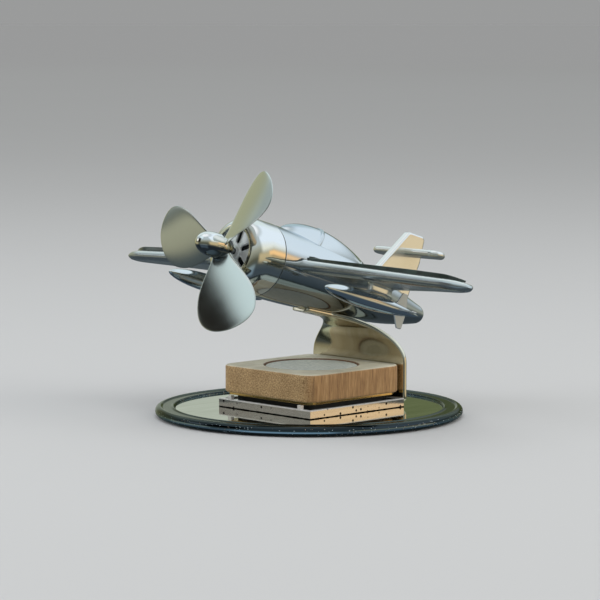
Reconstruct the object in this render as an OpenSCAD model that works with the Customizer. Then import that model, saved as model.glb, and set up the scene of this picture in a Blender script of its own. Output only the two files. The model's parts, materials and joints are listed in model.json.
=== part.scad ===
// Desk ornament: a polished model aeroplane on a curved sheet stand, over a square
// tray with a wooden scent block, on a round mirror base. Millimetres, +Z up, nose
// towards -Y, left wing towards +X. The origin is the middle of the base's underside.

/* [Base] */
// Diameter of the round base
base_d = 100; // [80:1:130]
// Width of the rim outside the mirror
rim_w = 6.4; // [5:0.1:8]
// How far the rim stands above the mirror
rim_step = 0.8; // [0.4:0.1:1.5]
// Thickness of the base's floor under the mirror
floor_t = 0.8; // [0.7:0.1:1.5]
// Thickness of the mirror
mirror_t = 1.5; // [1:0.1:2.5]
// Width of the floor outside the foot pad, mirror side
foot_margin = 3; // [2:0.5:8]
// Depth of the foot pad's recess
foot_recess = 0.4; // [0.2:0.05:0.5]
// How far the foot pad stands out below the base
foot_proud = 0.3; // [0.2:0.05:0.5]

/* [Tray] */
// Width of the square tray
tray_w = 42.6; // [40:0.1:46]
// Height of the tray above the mirror
tray_h = 2.8; // [2.6:0.1:4]
// Thickness of the tray's walls
tray_wall = 1.3; // [1:0.1:2]
// Thickness of the tray's floor
tray_floor_t = 0.5; // [0.4:0.1:0.6]
// Thickness of the adhesive tape under the stand's foot
tape_t = 0.2; // [0.1:0.05:0.3]
// Width of each of the tray's front tabs
tab_w = 1.6; // [1:0.1:3]
// Height of the tray's front tabs
tab_h = 1.3; // [0.8:0.1:1.6]
// Distance of each tab from the tray's side
tab_inset = 5.1; // [2:0.1:8]
// How far the tray's middle lies behind the base's middle
tray_back = 1.1; // [-2:0.1:2]
// Dark gap between the tray's top and the wooden block
block_gap = 2.2; // [2:0.1:4]

/* [Scent block] */
// Width of the square block
block_w = 42.3; // [38:0.1:42.5]
// Height of the block
block_h = 8.9; // [6:0.1:10]
// Radius of the block's upright corners
block_r = 3.8; // [2:0.1:7]
// Diameter of the round recess
recess_d = 30.5; // [20:0.5:34]
// Depth of the round recess
recess_depth = 1.3; // [1:0.1:3]
// Thickness of the scent pad
pad_t = 1; // [0.6:0.1:1]
// Thickness of the carrier plate under the block
carrier_t = 0.8; // [0.6:0.1:1]
// Width of the carrier plate
carrier_w = 39.6; // [36:0.2:40]
// Width of the guide rail on the carrier plate
rail_w = 6; // [4:0.5:8]
// Height of the guide rail
rail_h = 1.2; // [0.8:0.1:2]
// Length of wood that closes the guide groove at the front
groove_stop = 5; // [3:0.5:8]
// Width of the dark pedestal between tray and carrier
pedestal_w = 35; // [30:0.5:36]

/* [Stand] */
// Thickness of the stand's sheet
sheet_t = 1.6; // [1:0.1:1.7]
// Width of the stand's upright wall
stand_w = 42.6; // [36:0.1:43]
// Width of the stand's top flange
flange_w = 7.6; // [6:0.1:12]
// Length of the stand's foot under the tray
foot_len = 27; // [22:1:34]
// Height of the upright wall above the mirror
knee_h = 14.1; // [12:0.1:16]
// Height of the belly's seat above the mirror
hold_h = 31.1; // [30:0.1:36]
// Distance of the belly's seat behind the base's middle
hold_y = 1.6; // [-2:0.1:5]
// Length of the top flange behind the seat's middle
flange_back = 5.2; // [5:0.1:8]
// Length of the top flange ahead of the seat's middle
flange_front = 6.2; // [5:0.1:8]
// Depth of the flat seat cut across the belly
seat_cut = 0.8; // [0.5:0.1:1]
// Distance of each belly screw from the seat's middle
belly_screw_reach = 2.8; // [2.4:0.1:3]

/* [Fasteners] */
// Diameter of the small screws
screw_d = 1.8; // [1.4:0.1:2.2]
// Diameter of the screws' heads
head_d = 3.4; // [3:0.1:4]
// Clearance round a shaft that turns
running_gap = 0.05; // [0.02:0.01:0.08]
// Clearance between pieces that fit without moving
fit_gap = 0.05; // [0.02:0.01:0.1]
// Clearance round a piece that lifts or slides out
slide_gap = 0.3; // [0.2:0.05:0.4]

/* [Fuselage] */
// Nose-up angle of the aeroplane on its stand
pitch = 16.5; // [12:0.5:20]
// Length from the spinner's tip to the tail
body_len = 106; // [104:0.1:112]
// Wall thickness of the hollow fuselage
shell_t = 1.2; // [1:0.1:1.6]
// Distance from the spinner's tip back to the seam behind the cowl
seam_y = 27.5; // [26:0.1:29]
// Gap that shows as a dark line at the seam
seam_gap = 0.2; // [0.1:0.05:0.4]
// Diameter of the cowl and of the fuselage at the seam
cowl_d = 24; // [23:0.5:26]
// Distance from the spinner's tip back to the cowl's front
cowl_front = 14.7; // [14.4:0.1:15.2]
// Diameter across the front of the cowl's rolled lip
lip_d = 16.8; // [16:0.2:19]
// Radius of the roll on the inside of the lip
lip_roll = 1.2; // [0.8:0.1:1.6]
// Thickness of the engine face
face_t = 1.2; // [0.8:0.1:1.6]
// Number of cooling slots in the engine face
slot_count = 6; // [4:1:7]
// Width of each cooling slot
slot_w = 1.6; // [1:0.1:2]
// Height of the canopy above the fuselage's own top line
canopy_rise = 4.3; // [2.5:0.1:6]
// Width of the canopy
canopy_w = 16.4; // [12:0.2:18]
// Start of the canopy behind the spinner's tip
canopy_front = 33.5; // [31:0.5:38]
// Length of the canopy
canopy_len = 42.5; // [36:0.5:46]

/* [Wings] */
// Span from tip to tip
wing_span = 157.4; // [140:0.2:180]
// Chord where the wing meets the fuselage
root_chord = 34.3; // [30:0.1:38]
// Chord near the tip, before its rounding
tip_chord = 8.6; // [7:0.1:14]
// Middle of the root chord behind the spinner's tip
root_mid = 51.2; // [48:0.1:54]
// Middle of the tip behind the spinner's tip
tip_mid = 41.6; // [40:0.1:50]
// Length of the rounded tip
tip_round = 9.5; // [6:0.1:14]
// Height of the wing's flat top over the fuselage's axis
wing_top = 3; // [2:0.1:4]
// How far the wing's top drops from the fuselage's axis to the tip
wing_sag = 2; // [0:0.1:4]
// Thickness of the wing at its root
wing_t = 4.2; // [3.6:0.1:5]
// Thickness of the wing near its tip
wing_tip_t = 3.2; // [2.6:0.1:3.6]
// Depth of the wing's rounded front edge
nose_len = 2.2; // [1.5:0.1:3]
// Diameter of the spar that joins the wings
spar_d = 2; // [1.5:0.1:2.2]
// Reach of the spar to each side
spar_reach = 28; // [20:1:32]
// Thickness of each solar panel
panel_t = 1.4; // [0.8:0.1:2]
// Distance from the wing's front edge to the panel
panel_front = 1.7; // [1.5:0.1:5]
// Distance from the wing's rear edge to the panel
panel_rear = 4; // [3:0.1:8]
// Distance of the panels' inner ends from the fuselage's axis
panel_root = 12.6; // [12.6:0.1:18]
// Distance from the wing's tip to the panel's tip
panel_tip = 3; // [2:0.1:6]
// Diameter of the wires from the panels
lead_d = 0.8; // [0.5:0.1:1]

/* [Pods] */
// Distance of each pod from the fuselage's axis
pod_x = 36.2; // [32:0.1:44]
// Drop of the pod's axis below the fuselage's axis
pod_drop = 7.3; // [6.8:0.1:8.5]
// Pod's nose behind the spinner's tip
pod_front = 22.9; // [20:0.1:28]
// Length of the pod
pod_len = 43.4; // [38:0.1:48]
// Largest diameter of the pod
pod_d = 5.8; // [4.6:0.1:6.6]
// Width over a pod's fins
pod_fin_w = 11.4; // [9:0.1:12]
// Thickness of the pod's fins
pod_fin_t = 0.5; // [0.4:0.1:0.8]
// Pylon's front edge behind the spinner's tip
pylon_front = 41.8; // [39:0.1:43]
// Length of the pylon
pylon_len = 10.5; // [8:0.1:12]
// Thickness of the pylon
pylon_t = 2.2; // [1.6:0.1:3]

/* [Tail] */
// Thickness of the fin
fin_t = 3; // [2:0.1:4]
// Height of the fin's top above the fuselage's axis
fin_top = 24.3; // [22:0.1:28]
// Fin's front foot behind the spinner's tip
fin_front = 78.8; // [77:0.1:81]
// Fin's front top corner behind the spinner's tip
fin_corner = 90.1; // [88:0.1:91.5]
// Fin's rear edge behind the spinner's tip
fin_rear = 99.2; // [98.5:0.1:102]
// Span of the stabiliser
stab_span = 30.6; // [26:0.2:44]
// Chord of the stabiliser
stab_chord = 7; // [6:0.1:9]
// Middle of the stabiliser behind the spinner's tip
stab_y = 93.9; // [93:0.1:94.6]
// Height of the stabiliser above the fuselage's axis
stab_z = 17.7; // [16:0.1:19]
// Thickness of the stabiliser
stab_t = 2.3; // [1.6:0.1:3]

/* [Propeller and motor] */
// Diameter of the propeller
prop_d = 57; // [50:0.5:62]
// Number of degrees that the first blade points below level
first_blade = 66; // [50:1:90]
// Middle of the blades behind the spinner's tip
prop_y = 10.2; // [10.2:0.1:10.6]
// Largest width of a blade
blade_w = 20; // [12:0.5:21]
// Width of a blade at its root
blade_root_w = 6; // [5:0.1:6.4]
// Thickness of a blade
blade_t = 1.1; // [0.8:0.1:1.4]
// Angle of the blade's root to the propeller's disc
root_angle = 30; // [25:1:38]
// Angle of the blade's tip to the propeller's disc
tip_angle = 16; // [12:1:24]
// Diameter of the spinner
spinner_d = 8; // [7:0.1:9]
// Length of the spinner
spinner_len = 8.4; // [7.6:0.1:8.5]
// Length of the spinner's rounded nose
spinner_round = 6.9; // [5:0.1:7]
// Diameter of the hub that holds the blades
hub_d = 6.8; // [6:0.1:7]
// Diameter of the motor's shaft
shaft_d = 1.5; // [1:0.1:2]
// Diameter of the motor
motor_d = 13; // [12:0.5:15]
// Length of the motor
motor_len = 14; // [12:0.5:15]
// Distance from the spinner's tip back to the motor's front
motor_front = 20.8; // [20:0.1:22]

/* [Hidden] */
$fn = 64;
cut = 0.1;            // how far a cut runs past the face that it opens
eps = 0.02;           // overlap of two shapes that join

chrome = "#c9d2da";
dark_chrome = "#4c5663";
brass = "#c9b184";
wood = "#a27d57";
black = "#1c1d1f";

// Heights of the stack, from the base's underside up
mirror_z = foot_proud + floor_t + mirror_t;
mirror_r = base_d / 2 - rim_w;
foot_z = mirror_z + tape_t;                   // underside of the stand's foot
tray_floor_z = foot_z + sheet_t;              // underside of the tray's floor
pedestal_z = tray_floor_z + tray_floor_t;
tray_top = mirror_z + tray_h;
block_z = tray_top + block_gap;
carrier_z = block_z - carrier_t;
block_top = block_z + block_h;
pad_z = block_top - recess_depth;
tray_in = tray_w - 2 * tray_wall;             // clear width inside the tray
foot_w = tray_in - 2 * slide_gap;
wall_y = tray_back + tray_w / 2;              // inner face of the stand's wall
screw_r = screw_d / 2;
hole_r = screw_r + fit_gap;
tray_screw_x = pedestal_w / 2 - 5;
tray_screw_y = [wall_y - foot_len + 5, wall_y - 9];
carrier_screw_y = [tray_back - pedestal_w / 2 + 4, tray_back + 7];

// Fuselage stations behind the spinner's tip: [distance, top, belly, half width].
// The first is the round mouth at the seam; the distances stretch with the body's length.
cowl_r = cowl_d / 2;
stations = [
    [0, cowl_r, -cowl_r, cowl_r],
    [12, 11.7, -11.7, 11.9],
    [24, 11, -11.1, 11.3],
    [36, 9.9, -10.4, 10],
    [48, 8.2, -9.5, 8.2],
    [60, 5.6, -8.1, 6.1],
    [70, 3.1, -6.2, 4.1],
    [76, 1.7, -4.7, 2.9],
    [79, 1.1, -3.9, 2.4]];
body_back = seam_y + stations[len(stations) - 1][0];
stretch = (body_len - seam_y) / (body_back - seam_y);
tail_round = 3;       // length over which the tail closes
tail_pole = 0.25;     // share of the section left at the very end

function clamp(v, lo, hi) = min(max(v, lo), hi);
function mix(a, b, t) = a + (b - a) * t;
// Rounds from 0 at u = 0 to 1 at u = 1 as a quarter circle does
function round_in(u) = sqrt(max(0, 1 - pow(1 - clamp(u, 0, 1), 2)));

// Smooth curve through a table's column k: each piece is a cubic whose end slopes
// are those of the chord between the neighbouring stations
function piece_of(t, v) = clamp(len([for (s = t) if (s[0] <= v) 1]) - 1, 0, len(t) - 2);
function slope_at(t, i, k) =
    let (a = max(i - 1, 0), b = min(i + 1, len(t) - 1)) (t[b][k] - t[a][k]) / (t[b][0] - t[a][0]);
function curve_at(t, v, k) =
    let (
        i = piece_of(t, v),
        h = t[i + 1][0] - t[i][0],
        u = (v - t[i][0]) / h,
        p = t[i][k],
        q = t[i + 1][k],
        m = slope_at(t, i, k) * h,
        n = slope_at(t, i + 1, k) * h
    )
    p + u * m + u * u * (3 * (q - p) - 2 * m - n) + u * u * u * (2 * (p - q) + m + n);

// Share of the section left at y, where the tail rounds off
function tail_close(y) =
    let (u = clamp((y - body_len) / tail_round + 1, 0, 1)) max(tail_pole, sqrt(1 - u * u));
function body_at(y, k) = curve_at(stations, (y - seam_y) / stretch, k);
function body_mid(y) = (body_at(y, 1) + body_at(y, 2)) / 2;
function body_half(y) = (body_at(y, 1) - body_at(y, 2)) / 2 * tail_close(y);
function body_wide(y) = body_at(y, 3) * tail_close(y);

// Place of the aeroplane: its own frame has the spinner's tip at the origin, +Y back
// along the fuselage's axis and +Z up from it
seat_y = 55.3;          // middle of the belly's seat behind the spinner's tip
seat_z = body_at(seat_y, 2);
seat_slope = atan((body_at(seat_y + 5, 2) - body_at(seat_y - 5, 2)) / 10);
nose = [0, hold_y - seat_y * cos(pitch) - seat_z * sin(pitch),
    mirror_z + hold_h + seat_y * sin(pitch) - seat_z * cos(pitch)];
// Point at [y, z] of the aeroplane's frame, as [y, z] of the base's frame
function placed(p) = [nose[1] + p[0] * cos(pitch) + p[1] * sin(pitch),
    nose[2] - p[0] * sin(pitch) + p[1] * cos(pitch)];

boss_h = 4;           // height of the solid block inside the belly that takes the screws
boss_half = screw_r + 1.5;
motor_back = motor_front + motor_len;
mount_back = motor_back - 2;   // rear end of the motor mount's sleeve
hub_tail = 2.4;       // length of the hub behind the middle of the blades
hub_back = prop_y + hub_tail;
face_y = cowl_front + lip_roll;
mouth_r = cowl_r - shell_t;
blade_angles = [for (i = [0:2]) i * 120 - first_blade];
half_span = wing_span / 2;
lead_start = 4;       // from the motor's back to the first wire
lead_pitch = 2;       // from one wire to the next
lead_y = [motor_back + lead_start, motor_back + lead_start + lead_pitch];
lead_z = wing_top + panel_t / 2 - panel_root * wing_sag / half_span;
spar_z = wing_top - wing_t / 2 - 0.4;

// Points along the cubic curve with the four control points a to d
function bend(a, b, c, d, n) = [for (i = [0:n]) let (t = i / n)
    a * pow(1 - t, 3) + 3 * b * t * pow(1 - t, 2) + 3 * c * t * t * (1 - t) + d * pow(t, 3)];

module aeroplane() translate(nose) rotate([-pitch, 0, 0]) children();
module mirrored(side) mirror([side < 0 ? 1 : 0, 0, 0]) children();
// Turns a shape made round +Z so that it lies round the aeroplane's axis, +Z to +Y
module along_body(y) translate([0, y, 0]) rotate([-90, 0, 0]) children();
module rounded_square(w, r) {
    for (a = [0, 1], b = [0, 1])
        translate([(a - 0.5) * (w - 2 * r), (b - 0.5) * (w - 2 * r)]) circle(r);
    square([w - 2 * r, w], center = true);
    square([w, w - 2 * r], center = true);
}
module ring(outer, inner, h) difference() {
    cylinder(h = h, r = outer);
    translate([0, 0, -cut]) cylinder(h = h + 2 * cut, r = inner);
}
// Skin over rings of equally many points, closed by a flat face at each end
module skin(rings) {
    n = len(rings[0]);
    m = len(rings);
    polyhedron(
        points = [for (r = rings) each r],
        faces = [
            for (i = [0:m - 2], j = [0:n - 1]) let (k = (j + 1) % n, a = i * n, b = a + n)
                each [[a + j, a + k, b + j], [a + k, b + k, b + j]],
            [for (j = [n - 1:-1:0]) j],
            [for (j = [0:n - 1]) (m - 1) * n + j]
        ]
    );
}
// Round bar from one point to another
module bar(a, b, r) {
    d = b - a;
    translate(a) rotate([0, acos(d[2] / norm(d)), atan2(d[1], d[0])])
        cylinder(h = norm(d), r = r, $fn = 24);
}

rim_top = floor_t + mirror_t + rim_step;
bead_w = 2;           // width of the rounded bead round the rim
bead_round = 1.5;     // how far the bead's outside bulges
groove_t = 0.35;      // depth of the groove inside the bead
line_w = 1.1;         // width of the raised line beside the mirror
// Dish, turned about +Z: bead, groove and line round the edge, and a flat floor
module base_dish() color(dark_chrome) translate([0, 0, foot_proud]) difference() {
    rotate_extrude($fn = 128) polygon([
        [0, 0],
        [base_d / 2 - bead_round / 2, 0],
        each [for (a = [-60:15:60])
            [base_d / 2 - bead_round * (1 - cos(a)), rim_top / 2 * (1 + sin(a))]],
        [base_d / 2 - bead_w, rim_top],
        [base_d / 2 - bead_w - groove_t, rim_top - groove_t],
        [mirror_r + line_w, rim_top - groove_t],
        [mirror_r + line_w * 0.6, rim_top - groove_t * 0.3],
        [mirror_r + fit_gap, rim_top - groove_t * 1.5],
        [mirror_r + fit_gap, floor_t],
        [0, floor_t]]);
    translate([0, 0, -cut]) cylinder(h = cut + foot_recess, r = mirror_r - foot_margin + fit_gap);
}

module foot_pad() color(black) cylinder(h = foot_proud + foot_recess, r = mirror_r - foot_margin);

module mirror_disc() color("#9aa08c") translate([0, 0, foot_proud + floor_t])
    cylinder(h = mirror_t, r = mirror_r, $fn = 128);

tape_inset = 1;       // how far the tape stays inside the foot's outline
module mounting_tape() color(black)
    translate([tape_inset - foot_w / 2, wall_y - foot_len + tape_inset, mirror_z])
        cube([foot_w - 2 * tape_inset, foot_len - 2 * tape_inset, tape_t]);

// Tray: four walls and a floor, open below the floor, cut away at the back for the stand
module tray() color(chrome) difference() {
    on_tray(mirror_z) {
        linear_extrude(tray_h) square(tray_w, center = true);
        for (side = [-1, 1])
            translate([side * (tray_w / 2 - tab_inset) - tab_w / 2, -tray_w / 2, 0])
                cube([tab_w, tray_wall, tray_h + tab_h]);
    }
    on_tray(mirror_z - cut) linear_extrude(tray_floor_z - mirror_z + cut)
        square(tray_in, center = true);
    on_tray(pedestal_z) linear_extrude(tray_h) difference() {
        square(tray_in, center = true);
        translate([-tray_w / 2, -tray_w / 2]) square([tray_w, tray_wall]);
    }
    translate([-foot_w / 2 - slide_gap, wall_y - tray_w / 2, mirror_z - cut])
        cube([foot_w + 2 * slide_gap, tray_w, tray_floor_z - mirror_z + cut]);
    screw_places(tray_screw_x, tray_screw_y) translate([0, 0, mirror_z])
        cylinder(h = tray_h, r = hole_r);
}

module on_tray(z) translate([0, tray_back, z]) children();
module screw_places(x, ys) for (side = [-1, 1], y = ys) translate([side * x, y, 0]) children();

// Flat-headed screw, head down, its head's flat face at z = 0
module sunk_screw(length) {
    cylinder(h = head_sink, r1 = head_d / 2, r2 = screw_r);
    translate([0, 0, head_sink - eps]) cylinder(h = length - head_sink + eps, r = screw_r);
}
head_sink = 0.7;      // height of a flat screw head's cone
tray_screw_len = carrier_z - foot_z - slide_gap;
module tray_screws() color(black) screw_places(tray_screw_x, tray_screw_y)
    translate([0, 0, foot_z]) sunk_screw(tray_screw_len);

module pedestal() color(black) difference() {
    on_tray(pedestal_z) linear_extrude(carrier_z - pedestal_z) rounded_square(pedestal_w, 2);
    screw_places(tray_screw_x, tray_screw_y) translate([0, 0, foot_z])
        cylinder(h = tray_screw_len + cut, r = hole_r);
    screw_places(tray_screw_x, carrier_screw_y) translate([0, 0, block_z - carrier_screw_len - cut])
        cylinder(h = carrier_screw_len, r = hole_r);
}
carrier_screw_len = (carrier_z - pedestal_z) * 0.7 + carrier_t;

module carrier_plate() color(brass) difference() {
    on_tray(carrier_z) {
        linear_extrude(carrier_t) rounded_square(carrier_w, 3);
        translate([-rail_w / 2, -rail_front, 0])
            cube([rail_w, rail_front + carrier_w / 2 - 1, carrier_t + rail_h]);
    }
    screw_places(tray_screw_x, carrier_screw_y) translate([0, 0, carrier_z - cut]) {
        cylinder(h = carrier_t + 2 * cut, r = hole_r);
        translate([0, 0, cut + carrier_t - head_sink])
            cylinder(h = head_sink + eps, r1 = hole_r, r2 = head_d / 2 + fit_gap);
    }
}
rail_front = block_w / 2 - groove_stop - slide_gap;

module carrier_screws() color(black) screw_places(tray_screw_x, carrier_screw_y)
    translate([0, 0, block_z]) rotate([180, 0, 0]) sunk_screw(carrier_screw_len);

module scent_block() color(wood) difference() {
    on_tray(block_z) linear_extrude(block_h) rounded_square(block_w, block_r);
    on_tray(pad_z) cylinder(h = recess_depth + cut, r = recess_d / 2);
    on_tray(block_z - cut) translate([-rail_w / 2 - slide_gap, -block_w / 2 + groove_stop])
        cube([rail_w + 2 * slide_gap, block_w, rail_h + slide_gap + cut]);
}

module scent_pad() color("#98a199") on_tray(pad_z) cylinder(h = pad_t, r = recess_d / 2 - slide_gap);

// Middle line of the stand's sheet in the YZ plane, from the wall's foot to the flange's front
seat_dir = [-cos(pitch - seat_slope), sin(pitch - seat_slope)];
seat_mid = placed([seat_y, seat_z]) + (sheet_t / 2 - seat_cut) * [-seat_dir[1], seat_dir[0]];
stand_mid_y = wall_y + sheet_t / 2;
knee = [stand_mid_y, mirror_z + knee_h];
knee_pull = [0, 10];  // how strongly the bend leaves the wall upwards
flange_pull = 11;     // and how strongly it meets the flange
flange_rear = seat_mid - flange_back * seat_dir;
stand_line = [
    [stand_mid_y, foot_z],
    each bend(knee, knee + knee_pull, flange_rear - flange_pull * seat_dir, flange_rear, 18),
    seat_mid + flange_front * seat_dir];
// Unit vector square to a line of points at point i
function side_of(line, i) =
    let (d = line[min(i + 1, len(line) - 1)] - line[max(i - 1, 0)]) [d[1], -d[0]] / norm(d);
function band(line, t) = [
    for (i = [0:len(line) - 1]) line[i] + side_of(line, i) * t / 2,
    for (i = [len(line) - 1:-1:0]) line[i] - side_of(line, i) * t / 2];
// Half width of the stand at height z: full up to the knee, then a cosine down to the flange
function stand_u(z) = clamp((z - knee[1]) / (flange_rear[1] - knee[1]), 0, 1);
function stand_half(z) = mix(flange_w / 2, stand_w / 2, cos(90 * pow(stand_u(z), 1.1)));
stand_heights = [
    foot_z - 1,
    for (i = [0:16]) mix(knee[1], flange_rear[1], i / 16),
    seat_mid[1] + 8];
module stand() color(brass) difference() {
    union() {
        intersection() {
            rotate([90, 0, 90]) translate([0, 0, -stand_w]) linear_extrude(2 * stand_w)
                polygon(band(stand_line, sheet_t));
            translate([0, stand_w, 0]) rotate([90, 0, 0]) linear_extrude(2 * stand_w) polygon([
                for (z = stand_heights) [stand_half(z), z],
                for (i = [len(stand_heights) - 1:-1:0])
                    [-stand_half(stand_heights[i]), stand_heights[i]]]);
        }
        translate([-foot_w / 2, wall_y - foot_len, foot_z])
            cube([foot_w, foot_len + sheet_t / 2, sheet_t]);
    }
    screw_places(tray_screw_x, tray_screw_y) translate([0, 0, foot_z]) {
        translate([0, 0, -cut]) cylinder(h = sheet_t + 2 * cut, r = hole_r);
        translate([0, 0, -eps])
            cylinder(h = head_sink + eps, r1 = head_d / 2 + fit_gap, r2 = hole_r);
    }
    belly_screw_places() translate([0, 0, seat_cut - sheet_t - eps]) {
        cylinder(h = head_sink + eps, r1 = head_d / 2 + fit_gap, r2 = hole_r);
        cylinder(h = sheet_t + cut, r = hole_r);
    }
}

// Frame on the belly's seat: z = 0 at the belly's lowest line, +Z square to it into the fuselage
module belly_seat() translate([0, seat_y, seat_z]) rotate([seat_slope, 0, 0]) children();
module belly_screw_places() aeroplane() belly_seat()
    for (side = [-1, 1]) translate([0, side * belly_screw_reach, 0]) children();

belly_screw_len = sheet_t + boss_h - seat_cut - 1;
module belly_screws() color(chrome) belly_screw_places() translate([0, 0, seat_cut - sheet_t])
    sunk_screw(belly_screw_len);

// Ring of points round the fuselage at y, drawn in by the wall for the inside
function body_ring(y, wall, n) = [for (i = [0:n - 1]) let (a = 360 * i / n)
    [(body_wide(y) - wall) * cos(a), y, body_mid(y) + (body_half(y) - wall) * sin(a)]];
body_steps = 26;
tail_solid = 12;      // length of the tail that is left solid
body_ys = [for (i = [0:body_steps]) mix(seam_y, body_len, 1 - pow(1 - i / body_steps, 1.35))];
module fuselage_solid() skin([for (y = body_ys) body_ring(y, 0, 40)]);
module fuselage() color(chrome) aeroplane() difference() {
    union() {
        difference() {
            fuselage_solid();
            skin([for (i = [0:10]) body_ring(mix(mount_back, body_len - tail_solid, i / 10), shell_t, 24)]);
            along_body(seam_y - cut) cylinder(h = mount_back - seam_y + 2 * cut, r = mouth_r);
        }
        intersection() {
            fuselage_solid();
            belly_seat() translate([-boss_half, -belly_screw_reach - boss_half, 0])
                cube([2 * boss_half, 2 * (belly_screw_reach + boss_half), boss_h]);
        }
    }
    belly_seat() {
        translate([-cowl_r, -flange_front - slide_gap, -cowl_r])
            cube([cowl_d, flange_front + flange_back + seat_run, cowl_r + seat_cut]);
        for (side = [-1, 1]) translate([0, side * belly_screw_reach, -cut])
            cylinder(h = boss_h + 2 * cut, r = hole_r);
    }
    across(root_mid, spar_z, spar_d / 2 + fit_gap, cowl_d);
    for (y = lead_y) across(y, lead_z, lead_d / 2 + fit_gap, cowl_d);
}
seat_run = 8;         // length of the belly's flat behind the flange, clear of the stand's bend
// Round bar of the given radius from side to side at [y, z], reaching equally far each way
module across(y, z, r, reach) translate([-reach, y, z]) rotate([0, 90, 0])
    cylinder(h = 2 * reach, r = r);

// Canopy: half ellipses whose crown follows a sine over the fuselage's own top line
function canopy_u(y) = (y - canopy_front) / canopy_len;
function canopy_swell(y) = pow(sin(180 * pow(clamp(canopy_u(y), 0, 1), 0.75)), 0.8);
function canopy_ring(y, n) =
    let (
        top = body_at(y, 1) + mix(-slide_gap, canopy_rise, canopy_swell(y)),
        half = mix(1, canopy_w / 2, pow(canopy_swell(y), 0.6)),
        base = body_mid(y) + 1
    )
    [for (i = [0:n - 1]) let (a = 360 * i / n)
        [half * cos(a), y, base + (sin(a) > 0 ? top - base : 1) * sin(a)]];
module canopy() color("#b9c9d6") aeroplane() difference() {
    skin([for (i = [0:22]) canopy_ring(mix(canopy_front, canopy_front + canopy_len, i / 22), 32)]);
    fuselage_solid();
}

// Cowl: outer line is a quarter ellipse from the rolled lip to the full diameter
cowl_shoulder = 7;    // length over which the cowl swells behind its front
cowl_step = 1.6;      // length over which its inside opens behind the engine face
module cowl() color(chrome) aeroplane() along_body(0) rotate_extrude($fn = 96) polygon([
    each [for (a = [0:10:90]) [lip_d / 2 - lip_roll * sin(a), cowl_front + lip_roll * (1 - cos(a))]],
    [lip_d / 2 - lip_roll, face_y],
    [lip_d / 2 + fit_gap, face_y],
    [lip_d / 2 + fit_gap, face_y + face_t],
    [mouth_r, face_y + face_t + cowl_step],
    [mouth_r, seam_y - seam_gap],
    [cowl_r, seam_y - seam_gap],
    each [for (a = [90:-10:10])
        [mix(lip_d / 2, cowl_r, sin(a)), cowl_front + cowl_shoulder * (1 - cos(a))]]]);

slot_in = 3.6;        // a slot's ends, measured from the axis
slot_out = lip_d / 2 - 2;
module engine_face() color(dark_chrome) aeroplane() along_body(face_y) difference() {
    cylinder(h = face_t, r = lip_d / 2);
    translate([0, 0, -cut]) cylinder(h = face_t + 2 * cut, r = shaft_d / 2 + slide_gap);
    for (i = [0:slot_count - 1]) rotate([0, 0, -100 + i * 360 / slot_count]) translate([0, 0, -cut])
        linear_extrude(face_t + 2 * cut) {
            translate([slot_in, -slot_w / 2]) square([slot_out - slot_in, slot_w]);
            for (x = [slot_in, slot_out]) translate([x, 0]) circle(slot_w / 2);
        }
}

// Motor mount: a sleeve that bridges the seam, a web, and a collar round the motor
sleeve_t = 1;
sleeve_front = motor_front + 1;
collar_r = motor_d / 2 + 0.8;
collar_half = 3;      // half the length of the collar
web_half = 1;         // half the thickness of the web
module motor_mount() color(black) aeroplane() along_body(0) rotate_extrude() polygon([
    [mouth_r - fit_gap, sleeve_front],
    [mouth_r - fit_gap, mount_back],
    [mouth_r - sleeve_t, mount_back],
    [mouth_r - sleeve_t, seam_y + web_half],
    [collar_r, seam_y + web_half],
    [collar_r, seam_y + collar_half],
    [motor_d / 2 + fit_gap, seam_y + collar_half],
    [motor_d / 2 + fit_gap, seam_y - collar_half],
    [collar_r, seam_y - collar_half],
    [collar_r, seam_y - web_half],
    [mouth_r - sleeve_t, seam_y - web_half],
    [mouth_r - sleeve_t, sleeve_front]]);

can_t = 0.5;          // wall of the motor's can
bearing_r = 2;
cap_t = 1.2;          // thickness of the motor's end cap
magnet_t = 1.2;
magnet_in = motor_d / 2 - can_t - magnet_t;
air_gap = 0.5;        // gap between the magnet and the rotor
end_gap = 2;          // room at each end inside the can
terminal_x = 3.4;     // distance of the motor's terminals from its axis
terminal_w = 1.2;
module motor_can() color("#a9adb0") aeroplane() along_body(motor_front) difference() {
    cylinder(h = motor_len - cap_t, r = motor_d / 2);
    translate([0, 0, can_t]) cylinder(h = motor_len, r = motor_d / 2 - can_t);
    translate([0, 0, -cut]) cylinder(h = 2 * can_t + cut, r = bearing_r);
}
module motor_magnet() color("#3a3c3f") aeroplane() along_body(motor_front + end_gap)
    ring(motor_d / 2 - can_t, magnet_in, motor_len - cap_t - 2 * end_gap);
module motor_end_cap() color("#e6e4dc") aeroplane() along_body(motor_back - cap_t) difference() {
    union() {
        cylinder(h = cap_t, r = motor_d / 2);
        for (side = [-1, 1]) translate([side * terminal_x - terminal_w / 2, -terminal_w, 0])
            cube([terminal_w, 2 * terminal_w, cap_t + 1]);
    }
    translate([0, 0, -cut]) cylinder(h = cap_t + 2 * cut, r = shaft_d / 2 + running_gap);
}
module motor_bearing() color(brass) aeroplane() along_body(motor_front - 1)
    ring(bearing_r, shaft_d / 2 + running_gap, 1 + can_t);
module motor_rotor() color("#b4713d") aeroplane() along_body(motor_front + end_gap)
    ring(magnet_in - air_gap, shaft_d / 2, motor_len - cap_t - 2 * end_gap);
shaft_front = spinner_len / 2;
module motor_shaft() color("#d5d8da") aeroplane() along_body(shaft_front)
    cylinder(h = motor_back + 0.4 - shaft_front, r = shaft_d / 2);

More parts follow.
